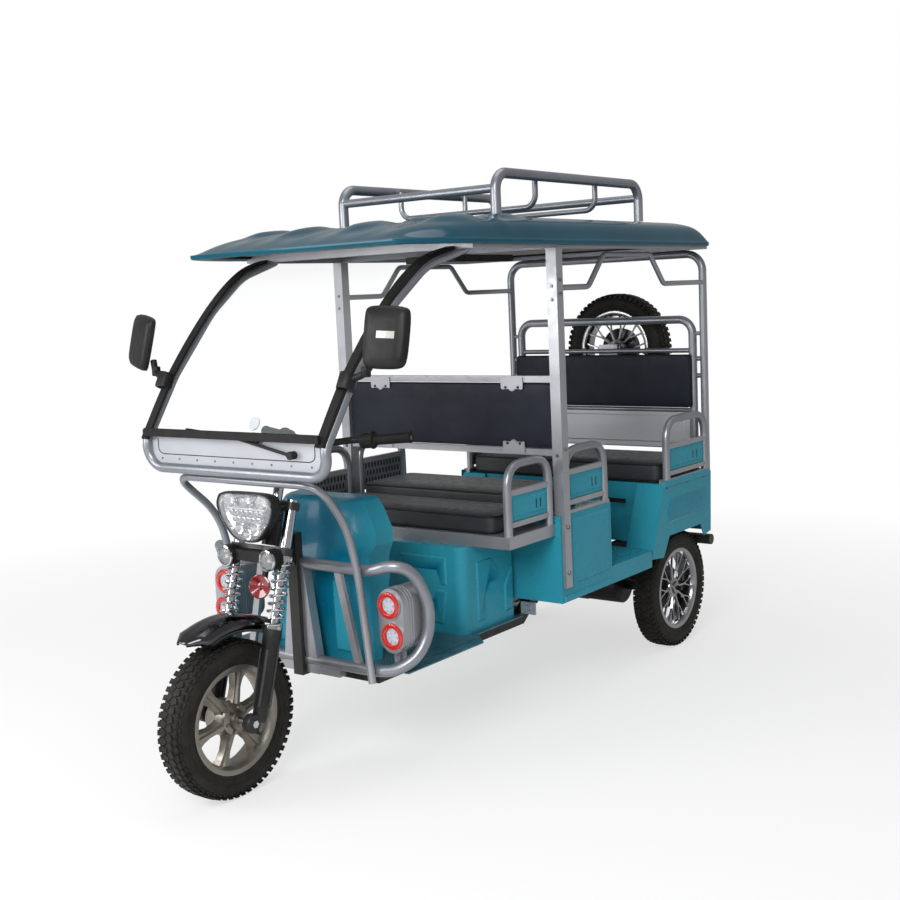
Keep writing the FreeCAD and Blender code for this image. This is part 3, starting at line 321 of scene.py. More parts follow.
def tyreMaterial():
    material, tree, shader = newMaterial("tyreRubber", (0.012, 0.011, 0.010), 0.6, 0.0, 0.22)
    dusty = mixColour(tree, ranged(tree, objectNoise(tree, 30.0, 5.0), 0, 1), (0.0085, 0.008, 0.0075),
            (0.022, 0.020, 0.016))
    tree.links.new(dusty, shader.inputs["Base Color"])
    addBump(tree, shader, objectNoise(tree, 700.0, 3.0), 0.25, 0.0008)
    return material


def plateMaterial():
    # pressed floor sheet: a raised lens pattern
    material, tree, shader = newMaterial("floorSheet", (0.08, 0.19, 0.23), 0.32, 0.5, 0.4)
    place = tree.nodes.new("ShaderNodeTexCoord")
    wave = tree.nodes.new("ShaderNodeTexMagic")
    wave.inputs["Scale"].default_value = 90.0
    wave.turbulence_depth = 1
    tree.links.new(place.outputs["Object"], wave.inputs["Vector"])
    tone = mixColour(tree, ranged(tree, objectNoise(tree, 12.0, 4.0), 0, 1), (0.05, 0.14, 0.18),
            (0.13, 0.25, 0.29))
    tree.links.new(tone, shader.inputs["Base Color"])
    addBump(tree, shader, wave.outputs["Fac"], 0.5, 0.002)
    return material


def clearMaterial(name, colour, roughness, alpha, ior=1.45):
    # thin clear sheet, mostly see-through with a plain gloss
    material, tree, shader = newMaterial(name, colour, roughness)
    shader.inputs["IOR"].default_value = ior
    shader.inputs["Alpha"].default_value = alpha
    shader.inputs["Specular IOR Level"].default_value = 0.8
    streak = objectNoise(tree, 8.0, 3.0, 0.5, (1, 1, 6))
    tree.links.new(ranged(tree, streak, roughness, roughness + 0.04), shader.inputs["Roughness"])
    return material


def lampMaterial(name, colour, glow):
    material, tree, shader = newMaterial(name, colour, 0.16)
    tone = mixColour(tree, ranged(tree, objectNoise(tree, 160.0, 2.0), 0, 1),
            tuple(c * 0.8 for c in colour), colour)
    tree.links.new(tone, shader.inputs["Base Color"])
    shader.inputs["Coat Weight"].default_value = 0.8
    shader.inputs["Emission Color"].default_value = (*colour, 1)
    shader.inputs["Emission Strength"].default_value = glow
    return material


tyreRubber = tyreMaterial()
floorSheet = plateMaterial()
screenGlass = clearMaterial("screenGlass", (0.85, 0.92, 0.92), 0.02, 0.05)
lensClear = clearMaterial("lensClear", (0.9, 0.93, 0.95), 0.03, 0.22)
redLens = lampMaterial("redLens", (0.50, 0.015, 0.01), 0.02)
whiteLens = lampMaterial("whiteLens", (0.46, 0.48, 0.54), 0.04)
hornRed = lampMaterial("hornRed", (0.20, 0.006, 0.010), 0.0)
plainSticker = lampMaterial("plainSticker", (0.40, 0.39, 0.36), 0.0)
print("materials ready")


# ---- finish on the CAD nodes that stay ----

def dress(names, material, bevel=0.0):
    for name in names:
        node = frame["nodes"][name]
        node.data.materials.clear()
        node.data.materials.append(material)
        smoothMesh(node.data, 32)
        if bevel:
            soft = node.modifiers.new("softEdges", "BEVEL")
            soft.width = bevel
            soft.segments = 2
            soft.limit_method = "ANGLE"
            soft.angle_limit = math.radians(50)
            soft.harden_normals = False


dress(["front_guard", "rear_hoop", "rear_backrest_frame", "front_armrests", "middle_armrests",
        "rear_armrests",
       "grab_bars", "luggage_rack", "windscreen_frame", "roof_frame", "backrest_frame"], silverPaint)
dress(["middle_posts", "seat_frame", "side_lamps"], silverPaint, 0.003)
dress(["dash_panel"], dashSilver)
dress(["driver_seat_box", "leg_shield", "middle_body", "step_floor", "rear_body"], tealPaint, 0.006)
dress(["chassis_frame", "rear_axle", "leaf_springs", "rear_bumper"], blackFrame)
dress(["roof_speaker", "handlebar", "mirrors", "wiper", "fog_lamps", "battery_pack"], blackPlastic,
        0.002)
dress(["front_floor"], floorSheet)
dress(["windscreen_glass"], screenGlass)
dress(["tail_lamps"], redLens, 0.006)
dress(["front_tyre", "rear_left_tyre", "rear_right_tyre", "spare_tyre"], tyreRubber)
dress(["rear_left_rim", "rear_right_rim", "spare_rim"], rimChrome)
dress(["front_rim"], castAlloy)
dress(["fork", "headlight", "front_mudguard"], darkChrome)
dress(["backrest_board", "rear_back_pad"], boardVinyl, 0.004)
dress(["driver_cushion", "middle_cushion", "rear_cushion"], benchVinyl)
dress(["roof_canopy"], roofGelcoat)
print("CAD nodes dressed")


# ---- wheels ----

tyre = {"blocks": 58, "blockDepth": 0.0044}
wheelPlaces = {"front": ("front_tyre", "front_rim", "front_wheel"),
               "rearLeft": ("rear_left_tyre", "rear_left_rim", "rear_wheel_left"),
               "rearRight": ("rear_right_tyre", "rear_right_rim", "rear_wheel_right"),
               "spare": ("spare_tyre", "spare_rim", "root")}


def boxMiddle(node):
    low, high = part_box(node)
    return (low + high) / 2, high - low


def makeTyre(key):
    node, rimNode, body = wheelPlaces[key]
    middle, span = boxMiddle(node)
    axis = Vector((0, 1, 0)) if key == "spare" else Vector((1, 0, 0))
    turn = along(axis, middle)
    outer = max(span) / 2
    half = min(span) / 2
    crown = outer - tyre["blockDepth"]
    bm = bmesh.new()
    bead = 0.151
    side = [(bead, 0.034), (0.158, 0.037), (0.168, 0.0395), (0.185, half - 0.003),
            (0.200, half - 0.0005),
            (0.213, half - 0.003), (crown - 0.010, half - 0.010), (crown - 0.004, half - 0.018),
                    (crown, half - 0.030),
            (crown + 0.001, 0.0)]
    profile = [(r, -x) for r, x in side[:-1]] + [side[-1]] + [(r, x) for r, x in reversed(side[:-1])]
    addLathe(bm, profile, turn, 96)
    for r in (0.176, 0.192):   # moulded rings on the sidewall
        for s in (-1, 1):
            reach = 0.0395 + (r - 0.168) * 0.30 if r < 0.185 else half - 0.0015
            ring = [turn @ Vector((r * math.cos(a), r * math.sin(a), s * reach))
                    for a in (2 * math.pi * i / 72 for i in range(72))]
            addTube(bm, ring, 0.0012, 5, True)
    blocks = tyre["blocks"]
    for i in range(blocks):
        for s in (-1, 1):
            angle = 2 * math.pi * (i + (0.5 if s > 0 else 0)) / blocks
            spin = turn @ Matrix.Rotation(angle, 4, "Z")
            lean = Matrix.Rotation(s * 0.45, 4, "X")
            centre = spin @ Matrix.Translation((crown - 0.001, 0, s * 0.0125)) @ lean
            addBox(bm, (0, -0.0088, -0.0105), (tyre["blockDepth"], 0.0088, 0.0105), centre)
            outerBlock = spin @ Matrix.Translation((crown - 0.003, 0.006,
                    s * 0.032)) @ Matrix.Rotation(s * 0.36, 4, "Y")
            addBox(bm, (-0.004, -0.0078, -0.0080), (tyre["blockDepth"] - 0.0032, 0.0078, 0.0085),
                    outerBlock)
            lug = spin @ Matrix.Translation((crown - 0.016, 0.002,
                    s * (half - 0.0092))) @ Matrix.Rotation(s * 1.0, 4, "Y")
            addBox(bm, (-0.004, -0.0062, -0.0085), (0.0028, 0.0062, 0.0075), lug)
    obj = makeObject(key + "Tyre", bm, tyreRubber, body, 30)
    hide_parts(node)


for wheelKey in wheelPlaces:
    makeTyre(wheelKey)
print("tyres made")


def addSpoke(bm, turn, stations, slotIndex=0):
    # stations are (radius, half width, along, half thickness, sideways)
    rings = []
    for r, wide, z, thick, sideways in stations:
        rings.append([bm.verts.new(turn @ Vector((r, sideways + y * wide, z + t * thick)))
                      for y, t in ((-1, -0.55), (-0.6, 1), (0.6, 1), (1, -0.55), (0.6, -1),
                              (-0.6, -1))])
    for a, b in zip(rings, rings[1:]):
        for k in range(6):
            m = (k + 1) % 6
            bm.faces.new((a[k], a[m], b[m], b[k])).material_index = slotIndex
    bm.faces.new(rings[0])
    bm.faces.new(list(reversed(rings[-1])))


barrelProfile = [(0.1655, -0.0405), (0.1655, -0.037), (0.156, -0.0345), (0.1495, -0.033),
        (0.147, -0.02), (0.147, 0.02),
                 (0.1495, 0.033), (0.156, 0.0345), (0.1655, 0.037), (0.1655, 0.0405), (0.160, 0.0415),
                     (0.150, 0.0395),
                 (0.143, 0.030), (0.141, 0.012), (0.141, -0.012), (0.143, -0.030), (0.150, -0.0395),
                         (0.160, -0.0415)]


def wheelTurn(key):
    middle = boxMiddle(wheelPlaces[key][0])[0]
    axis = Vector((0, 1, 0)) if key == "spare" else Vector((1, 0, 0))
    if key in ("rearRight", "spare"):
        axis = -axis
    return along(axis, middle)


def makeFrontRim():
    # six broad cast arms, each with a raised rib, round a drum hub
    turn = wheelTurn("front")
    bm = bmesh.new()
    addLathe(bm, barrelProfile, turn, 72)
    hub = [(0.0108, -0.052), (0.024, -0.052), (0.026, -0.047), (0.052, -0.044), (0.056, -0.038),
            (0.056, 0.014),
           (0.050, 0.020), (0.046, 0.032), (0.030, 0.038), (0.028, 0.052), (0.0108, 0.052)]
    addLathe(bm, hub, turn, 48)
    for i in range(6):
        arm = turn @ Matrix.Rotation(2 * math.pi * i / 6 + 0.22, 4, "Z")
        addSpoke(bm, arm, [(0.044, 0.026, 0.008, 0.016, 0), (0.064, 0.020, 0.009, 0.013, 0),
                (0.095, 0.019, 0.008, 0.011, 0),
                           (0.120, 0.026, 0.007, 0.011, 0), (0.143, 0.042, 0.006, 0.013, 0)])
        addSpoke(bm, arm, [(0.046, 0.009, 0.028, 0.006, 0), (0.100, 0.007, 0.021, 0.005, 0),
                (0.141, 0.010, 0.019, 0.005, 0)])
        bolt = arm @ Matrix.Translation((0.037, 0, 0.030))
        addLathe(bm, [(0.0, 0.012), (0.0055, 0.012), (0.0055, 0.0), (0.0, 0.0)], bolt, 6, 0, False)
    obj = makeObject("frontCastRim", bm, castAlloy, "front_wheel", 40)
    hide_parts("front_rim")


def makeMeshRim(key):
    # ten stems that fork into pairs, over a dark drum
    turn = wheelTurn(key)
    bm = bmesh.new()
    addLathe(bm, barrelProfile, turn, 72)
    cap = [(0.0, 0.036), (0.016, 0.036), (0.024, 0.032), (0.026, 0.024), (0.040, 0.020), (0.044, 0.012),
            (0.044, -0.004), (0.0, -0.004)]
    addLathe(bm, cap, turn, 40, 0, False)
    for i in range(10):
        arm = turn @ Matrix.Rotation(2 * math.pi * i / 10, 4, "Z")
        addSpoke(bm, arm, [(0.036, 0.0075, 0.016, 0.005, 0), (0.070, 0.0055, 0.020, 0.005, 0),
                (0.092, 0.0085, 0.022, 0.005, 0)])
        for s in (-1, 1):
            addSpoke(bm, arm, [(0.086, 0.0042, 0.022, 0.0045, s * 0.003),
                    (0.115, 0.0038, 0.024, 0.004, s * 0.013),
                               (0.146, 0.0052, 0.026, 0.005, s * 0.024)])
    body = wheelPlaces[key][2]
    obj = makeObject(key + "MeshRim", bm, rimChrome, body, 38)
    drum = bmesh.new()
    addLathe(drum, [(0.0108, -0.050), (0.070, -0.046), (0.086, -0.036), (0.088, -0.010),
            (0.060, -0.006), (0.0108, -0.006)], turn, 48)
    dark = makeObject(key + "Drum", drum, blackFrame, body, 35)
    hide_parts(wheelPlaces[key][1])


makeFrontRim()
for wheelKey in ("rearLeft", "rearRight", "spare"):
    makeMeshRim(wheelKey)
print("rims made")


# ---- front fork ----

steer = [j for j in frame["joints"] if j["name"] == "steering_turn"][0]
steerUp = Vector(steer["axis"]).normalized()
steerFoot = Vector(steer["pos_m"])
steerAhead = Vector((0, -steerUp.z, steerUp.y))
fork = {"spread": 0.100, "ahead": 0.035, "springLow": 0.284, "springHigh": 0.486, "turns": 9,
        "wire": 0.0036, "coil": 0.0252}


def onSteering(up, ahead=0.0, side=0.0):
    return steerFoot + steerUp * up + steerAhead * ahead + Vector((side, 0, 0))


def makeFork():
    black = bmesh.new()
    bright = bmesh.new()
    for s in (-1, 1):
        leg = along(steerUp, onSteering(0, fork["ahead"], s * fork["spread"]))
        slider = [(0.0, 0.004), (0.019, 0.004), (0.023, 0.02), (0.024, 0.10), (0.0255, 0.12),
                (0.0255, 0.235), (0.028, 0.240),
                  (0.0285, 0.262), (0.0285, 0.282), (0.0, 0.282)]
        addLathe(black, slider, leg, 32, 0, False)
        for turnAngle in (0.5, 2.1, 3.6, 5.2):   # ribs cast down the slider
            rib = leg @ Matrix.Rotation(turnAngle, 4, "Z")
            addBox(black, (0.020, -0.004, 0.05), (0.0285, 0.004, 0.22), rib)
        addLathe(bright, [(0.0, 0.280), (0.0125, 0.280), (0.0125, 0.49), (0.0, 0.49)], leg, 28, 0,
                False)
        steps = fork["turns"] * 20
        rise = fork["springHigh"] - fork["springLow"]
        helix = []
        for i in range(steps + 1):
            a = 2 * math.pi * fork["turns"] * i / steps
            helix.append(leg @ Vector((fork["coil"] * math.cos(a), fork["coil"] * math.sin(a),
                    fork["springLow"] + rise * i / steps)))
        addTube(bright, helix, fork["wire"], 8)
        for low, high, r in ((0.280, 0.290, 0.0285), (0.484, 0.500, 0.0275)):
            addLathe(bright, [(0.0, low), (r, low), (r, high), (0.0, high)], leg, 36, 0, False)
        addLathe(bright, [(0.0, 0.5), (0.0178, 0.5), (0.0178, 0.672), (0.0, 0.672)], leg, 32, 0, False)
        axle = boxMiddle("front_tyre")[0]
        lug = along((1, 0, 0), (s * 0.1 - 0.014, axle.y, axle.z))
        addLathe(black, [(0.0, 0.0), (0.026, 0.0), (0.029, 0.004), (0.029, 0.024), (0.026, 0.028),
                (0.0, 0.028)], lug, 32, 0, False)
        addLathe(bright, [(0.0, -0.006), (0.012, -0.006), (0.012, 0.034), (0.0, 0.034)], lug, 6, 0,
                False)
    for low, high in ((0.501, 0.525), (0.640, 0.664)):
        shape = []
        for side, start in ((1, 90), (-1, -90)):   # rounded ends about each stanchion
            for k in range(9):
                a = math.radians(start - 20 - 18 * k)
                shape.append((side * fork["spread"] + 0.0245 * math.cos(a),
                        fork["ahead"] + 0.0245 * math.sin(a)))
            shape.append((side * 0.028, -0.0275 if side > 0 else 0.055))
            shape.append((-side * 0.028, -0.0275 if side > 0 else 0.055))
        lower = [black.verts.new(onSteering(low, a, x)) for x, a in shape]
        upper = [black.verts.new(onSteering(high, a, x)) for x, a in shape]
        black.faces.new(lower)
        black.faces.new(upper)
        for k in range(len(shape)):
            m = (k + 1) % len(shape)
            black.faces.new((lower[k], lower[m], upper[m], upper[k]))
    stem = along(steerUp, onSteering(0))
    addLathe(bright, [(0.0, 0.664), (0.0158, 0.664), (0.0158, 0.822), (0.0, 0.822)], stem, 28, 0, False)
    addTube(black, [onSteering(0.304, 0.035, -0.1), onSteering(0.304, 0.035, 0.1)], 0.0088, 14)
    axleLine = boxMiddle("front_tyre")[0]
    addTube(bright, [axleLine - Vector((0.1, 0, 0)), axleLine + Vector((0.1, 0, 0))], 0.0098, 16)
    blackPart = makeObject("forkSliders", black, blackFrame, "steering", 38)
    brightPart = makeObject("forkSprings", bright, chromePlate, "steering", 40)
    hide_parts("fork")


makeFork()
print("fork made")


# ---- headlight and round lamps ----

def insetOutline(points, share):
    cx = sum(p[0] for p in points) / len(points)
    cz = sum(p[1] for p in points) / len(points)
    return [(cx + (x - cx) * share, cz + (z - cz) * share) for x, z in points]


def smoothOutline(points, cuts=5, bend=0.36):
    out = []
    count = len(points)
    for i in range(count):
        before, here, after = (Vector(points[(i + k) % count]) for k in (-1, 0, 1))
        a = here.lerp(before, bend)
        b = here.lerp(after, bend)
        for k in range(cuts + 1):
            t = k / cuts
            p = a * (1 - t) ** 2 + here * 2 * t * (1 - t) + b * t ** 2
            out.append((p.x, p.y))
    return out


def addPrism(bm, outline, layers, slotIndex=0, capStart=True, capEnd=True):
    # an outline in x and z carried through (y, scale) layers
    rings = [[bm.verts.new((x, y, z)) for x, z in insetOutline(outline, share)] for y, share in layers]
    for a, b in zip(rings, rings[1:]):
        for k in range(len(a)):
            m = (k + 1) % len(a)
            bm.faces.new((a[k], a[m], b[m], b[k])).material_index = slotIndex
    if capStart:
        bm.faces.new(rings[0]).material_index = slotIndex
    if capEnd:
        bm.faces.new(rings[-1]).material_index = slotIndex


def makeHeadlight():
    low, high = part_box("headlight")
    x = (high.x - low.x) / 2
    z0, z1 = low.z, high.z
    tall = z1 - z0
    right = [(0.38 * x, z0), (0.86 * x, z0 + 0.42 * tall), (x, z0 + 0.76 * tall), (0.84 * x, z1)]
    shape = smoothOutline(right + [(-px, pz) for px, pz in reversed(right)])
    front = low.y
    shell = bmesh.new()
    addPrism(shell, shape, [(front + 0.074, 0.66), (front + 0.046, 0.93), (front + 0.018, 1.0),
            (front + 0.005, 0.985),
                            (front + 0.003, 0.93), (front + 0.010, 0.90)], 0, True, False)
    case = makeObject("headlightCase", shell, blackPlastic, "steering", 45)
    bowl = bmesh.new()
    addPrism(bowl, shape, [(front + 0.008, 0.91), (front + 0.020, 0.86), (front + 0.034, 0.70)], 0,
            False, True)
    # an upper pair of wide cups over a row of small ones, and three below
    cups = [(-0.070, 0.80, 0.026), (0.0, 0.82, 0.024), (0.070, 0.80, 0.026)]
    cups += [(0.021 * k, 0.58, 0.0105) for k in (-3, -2, -1, 0, 1, 2, 3)]
    cups += [(0.021 * k, 0.45, 0.0105) for k in (-2.5, -1.5, -0.5, 0.5, 1.5, 2.5)]
    cups += [(-0.034, 0.27, 0.019), (0.034, 0.27, 0.019), (0.0, 0.15, 0.017)]
    glow = bmesh.new()
    for cx, share, size in cups:
        at = (cx, front + 0.026, z0 + tall * share)
        cup = along((0, -1, 0), at, math.pi / 8)
        addLathe(bowl, [(0.0, 0.000), (size * 0.40, 0.003), (size, 0.017), (size * 1.07, 0.016),
                (size * 0.5, -0.002)], cup, 8, 0, False)
        addLathe(glow, [(0.0, 0.008), (size * 0.24, 0.006), (size * 0.28, 0.0)], along((0, -1, 0), at),
                12, 0, False)
    bright = makeObject("headlightReflectors", bowl, chromePlate, "steering", 20)
    addBox(glow, (-0.62 * x, front + 0.007, z0 + tall * 0.655),
            (0.62 * x, front + 0.011, z0 + tall * 0.685))
    lit = makeObject("headlightLamps", glow, whiteLens, "steering", 30)
    cover = bmesh.new()
    addPrism(cover, shape, [(front + 0.005, 0.92), (front + 0.001, 0.88), (front, 0.5)], 0, False, True)
    lens = makeObject("headlightLens", cover, lensClear, "steering", 60)
    ring = bmesh.new()
    addTube(ring, [(px, front + 0.003, pz) for px, pz in insetOutline(shape, 0.945)], 0.0026, 8, True)
    rim = makeObject("headlightRim", ring, darkChrome, "steering", 60)
    fins = bmesh.new()
    for s in (-1, 1):   # cooling fins on the case sides
        for k in range(5):
            z = z0 + tall * (0.42 + 0.10 * k)
            reach = x * (0.84 + 0.13 * min(1.0, (0.42 + 0.10 * k - 0.42) / 0.34))
            addBox(fins, (s * (reach - 0.010) - 0.006, front + 0.022, z - 0.0025),
                    (s * (reach - 0.010) + 0.006, front + 0.060, z + 0.0025))
    finPart = makeObject("headlightFins", fins, blackPlastic, "steering", 30)
    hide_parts("headlight")


def makeFogLamps():
    low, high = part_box("fog_lamps")
    z = (low.z + high.z) / 2
    body, bright, bowl, glass = bmesh.new(), bmesh.new(), bmesh.new(), bmesh.new()
    addBox(body, (-0.088, low.y + 0.018, z - 0.013), (0.088, low.y + 0.050, z + 0.020))
    for s in (-1, 1):
        x = s * (high.x - 0.033)
        face = along((0, -1, 0), (x, low.y + 0.062, z))
        addLathe(body, [(0.0, 0.0), (0.020, 0.0), (0.0315, 0.020), (0.0315, 0.052), (0.029, 0.054),
                (0.027, 0.036), (0.0, 0.030)], face, 36, 0, False)
        for k in range(4):
            addLathe(body, [(0.0305, 0.022 + 0.007 * k), (0.033, 0.0225 + 0.007 * k),
                    (0.033, 0.0255 + 0.007 * k), (0.0305, 0.026 + 0.007 * k)], face, 36)
        addLathe(bright, [(0.0265, 0.050), (0.0305, 0.052), (0.0328, 0.055), (0.0320, 0.060),
                (0.0285, 0.0617), (0.0262, 0.058)], face, 44)
        addLathe(bowl, [(0.0265, 0.055), (0.020, 0.040), (0.010, 0.034), (0.0, 0.033)], face, 32, 0,
                False)
        addLathe(bright, [(0.0, 0.052), (0.006, 0.051), (0.0085, 0.046), (0.0085, 0.034), (0.0, 0.034)],
                face, 20, 0, False)
        addLathe(glass, [(0.0268, 0.0555), (0.018, 0.0595), (0.0, 0.0612)], face, 32, 0, False)
    case = makeObject("fogLampBodies", body, blackPlastic, "steering", 40)
    rings = makeObject("fogLampRings", bright, chromePlate, "steering", 40)
    bowls = makeObject("fogLampBowls", bowl, darkChrome, "steering", 40)
    lenses = makeObject("fogLampLenses", glass, lensClear, "steering", 60)
    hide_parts("fog_lamps")


def makeSideLamps():
    low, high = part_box("side_lamps")
    red = bmesh.new()
    white = bmesh.new()
    ribs = bmesh.new()
    for s in (-1, 1):
        x = s * (high.x - 0.049)
        for z, lean in ((0.548, -0.005), (0.453, 0.005)):
            face = along((0, -1, 0), (x + s * lean, low.y, z))
            addLathe(red, [(0.0255, -0.002), (0.042, -0.002), (0.0425, 0.003), (0.040, 0.008),
                    (0.034, 0.0105), (0.0275, 0.0085), (0.0255, 0.004)], face, 48)
            addLathe(ribs, [(0.0415, -0.001), (0.0445, -0.001), (0.0445, 0.004), (0.0415, 0.004)], face,
                    48)
            for k in range(24):
                tick = face @ Matrix.Rotation(2 * math.pi * k / 24, 4, "Z")
                addBox(red, (0.030, -0.0008, 0.008), (0.040, 0.0008, 0.0105), tick)
            addLathe(white, [(0.0, 0.0045), (0.012, 0.004), (0.0255, 0.0015), (0.0255, -0.002),
                    (0.0, -0.002)], face, 36, 0, False)
            for k in range(6):
                seat = face @ Matrix.Rotation(2 * math.pi * k / 6, 4,
                        "Z") @ Matrix.Translation((0.0155, 0, 0.003))
                addLathe(white, [(0.0, 0.004), (0.0035, 0.0035), (0.0056, 0.0)], seat, 10, 0, False)
        for y in (0.022, 0.034, 0.046):
            path = [(x + 0.0495 * math.cos(a), low.y + y,
                    0.5 + (0.051 if a < math.pi else -0.051) + 0.0495 * math.sin(a))
                    for a in (2 * math.pi * k / 40 for k in range(40))]
            addTube(ribs, path, 0.0022, 6, True)
    redPart = makeObject("sideLampRings", red, redLens, "root", 40)
    whitePart = makeObject("sideLampCentres", white, whiteLens, "root", 40)
    ribPart = makeObject("sideLampRibs", ribs, silverPaint, "root", 60)


makeHeadlight()
makeFogLamps()
makeSideLamps()
print("lamps made")


# ---- front mudguard ----

def makeMudguard():
    middle = boxMiddle("front_tyre")[0]
    bm = bmesh.new()
    section = [(-0.058, 0.265), (-0.060, 0.290), (-0.052, 0.304), (-0.034, 0.312), (-0.012, 0.3155),
            (0.0, 0.313),
               (0.012, 0.3155), (0.034, 0.312), (0.052, 0.304), (0.060, 0.290), (0.058, 0.265)]
    rings = []
    steps = 26
    for i in range(steps + 1):
        t = i / steps
        a = math.radians(-31 + 55 * t)   # from the front tip back over the wheel
        narrow = min(1.0, 0.34 + t * 4.2)
        ring = []
        for x, r in section:
            reach = 0.314 - (0.314 - r) * min(1.0, 0.25 + 3.2 * t)
            ring.append(bm.verts.new((x * narrow, middle.y + math.sin(a) * reach,
                    middle.z + math.cos(a) * reach)))
        rings.append(ring)
    for a, b in zip(rings, rings[1:]):
        for k in range(len(a) - 1):
            bm.faces.new((a[k], a[k + 1], b[k + 1], b[k]))
    obj = makeObject("frontMudguard", bm, darkChrome, "steering", 60)
    thick = obj.modifiers.new("sheet", "SOLIDIFY")
    thick.thickness = 0.003
    thick.offset = -1
    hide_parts("front_mudguard")


makeMudguard()
print("mudguard made")


# ---- roof canopy ----

canopy = {"lip": 0.016, "shoulder": 0.036, "across": 80, "down": 130,
          "pods": ((-0.39, 0.34), (-0.14, 0.24), (0.14, 0.24), (0.39, 0.34), (-0.36, 0.62),
              (0.36, 0.62), (-0.12, 0.56), (0.12, 0.56))}


def makeCanopy():
    low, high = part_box("roof_canopy")
    half, front, back, base = high.x, low.y, high.y, low.z
    rise = high.z - low.z - canopy["lip"]

    def halfWidth(y):
        fromNose, fromTail = y - front, back - y
        w = half
        if fromNose < 0.24:
            w = half - 0.085 * (1 - fromNose / 0.24) ** 1.8
        if fromTail < 0.07:
            w = min(w, half - 0.055 * (1 - math.sqrt(max(0.0, 1 - (1 - fromTail / 0.07) ** 2))))
        return w

    def height(x, y, w):
        side = 1 - math.exp(-((w - abs(x)) / canopy["shoulder"]) ** 1.3)
        tail = 1 - math.exp(-((back - y) / 0.038) ** 1.3)
        nose = y - front
        # a long low nose that steps up to the full height behind the windscreen
        ramp = 1 - math.exp(-nose / 0.19)
        crown = 0.87 + 0.05 * (1 - (x / half) ** 2)
        z = rise * side * tail * min(1.0, ramp) * crown
        fade = min(1, (w - abs(x)) / 0.1) * min(1, nose / 0.25) * min(1, (back - y) / 0.12)
        z += 0.0030 * math.cos(x * 2 * math.pi / 0.13) * fade
        for px, py in canopy["pods"]:
            d = ((x - px) / 0.062) ** 2 + ((y - front - py) / 0.105) ** 2
            z += 0.013 * math.exp(-d * d)
        # the step's soft edge runs across the roof
        z += 0.004 * math.exp(-((nose - 0.50) / 0.03) ** 2) * side
        return z

    bm = bmesh.new()
    rows = []
    for j in range(canopy["down"] + 1):
        y = front + (back - front) * j / canopy["down"]
        w = halfWidth(y)
        row = []
        for i in range(canopy["across"] + 1):
            x = math.sin((i / canopy["across"] - 0.5) * math.pi) * w
            row.append(bm.verts.new((x, y, base + canopy["lip"] + height(x, y, w))))
        rows.append(row)
    for a, b in zip(rows, rows[1:]):
        for k in range(canopy["across"]):
            bm.faces.new((a[k], a[k + 1], b[k + 1], b[k]))
    border = rows[0][:] + [r[-1] for r in rows[1:-1]] + rows[-1][::-1] + [r[0] for r in rows[-2:0:-1]]
    middle = (front + back) / 2
    edges = [border]
    for share, drop in ((1.0, 0.006), (0.994, 0.001), (0.986, 0.0), (0.972, 0.005)):
        edges.append([bm.verts.new((v.co.x * share,
                middle + (v.co.y - middle) * (1 - (1 - share) * 0.5), base + drop)) for v in border])
    for a, b in zip(edges, edges[1:]):
        for k in range(len(border)):
            m = (k + 1) % len(border)
            bm.faces.new((a[k], a[m], b[m], b[k]))
    inner = [tuple(v.co) for v in edges[-1]]
    obj = makeObject("roofCanopy", bm, roofGelcoat, "root", 60)
    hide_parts("roof_canopy")
    # a flange under the lip in black rubber, its dark colour painted shade on the lip's underside, then
    # the pale lining inside the roof
    flange = bmesh.new()
    outer = [flange.verts.new(p) for p in inner]
    step = [flange.verts.new((x * 0.93, middle + (y - middle) * 0.965, base + 0.0065)) for x, y,
            z in inner]
    up = [flange.verts.new((x * 0.93, middle + (y - middle) * 0.965, base + 0.014)) for x, y,
            z in inner]
    for a, b in ((outer, step), (step, up)):
        for k in range(len(a)):
            m = (k + 1) % len(a)
            flange.faces.new((a[k], a[m], b[m], b[k]))
    rim = makeObject("roofFlange", flange, blackRubber, "root", 30)
    lining = bmesh.new()
    sheetLow = [lining.verts.new((x * 0.935, middle + (y - middle) * 0.967, base + 0.0148)) for x, y,
            z in inner]
    sheetHigh = [lining.verts.new((x * 0.935, middle + (y - middle) * 0.967, base + 0.0165)) for x, y,
            z in inner]
    lining.faces.new(sheetLow)
    lining.faces.new(sheetHigh)
    for k in range(len(inner)):
        m = (k + 1) % len(inner)
        lining.faces.new((sheetLow[k], sheetLow[m], sheetHigh[m], sheetHigh[k]))
    under = makeObject("roofLining", lining, roofLining, "root", 30)


makeCanopy()
print("canopy made")


# ---- cushions ----

cushions = {"driver_cushion": ("driverCushion", 0.034, True),
        "middle_cushion": ("middleCushion", 0.034, True),
            "rear_cushion": ("rearCushion", 0.036, True),
            "backrest_board": ("backrestBoard", 0.012, False),
                    "rear_back_pad": ("rearBackPad", 0.012, False)}


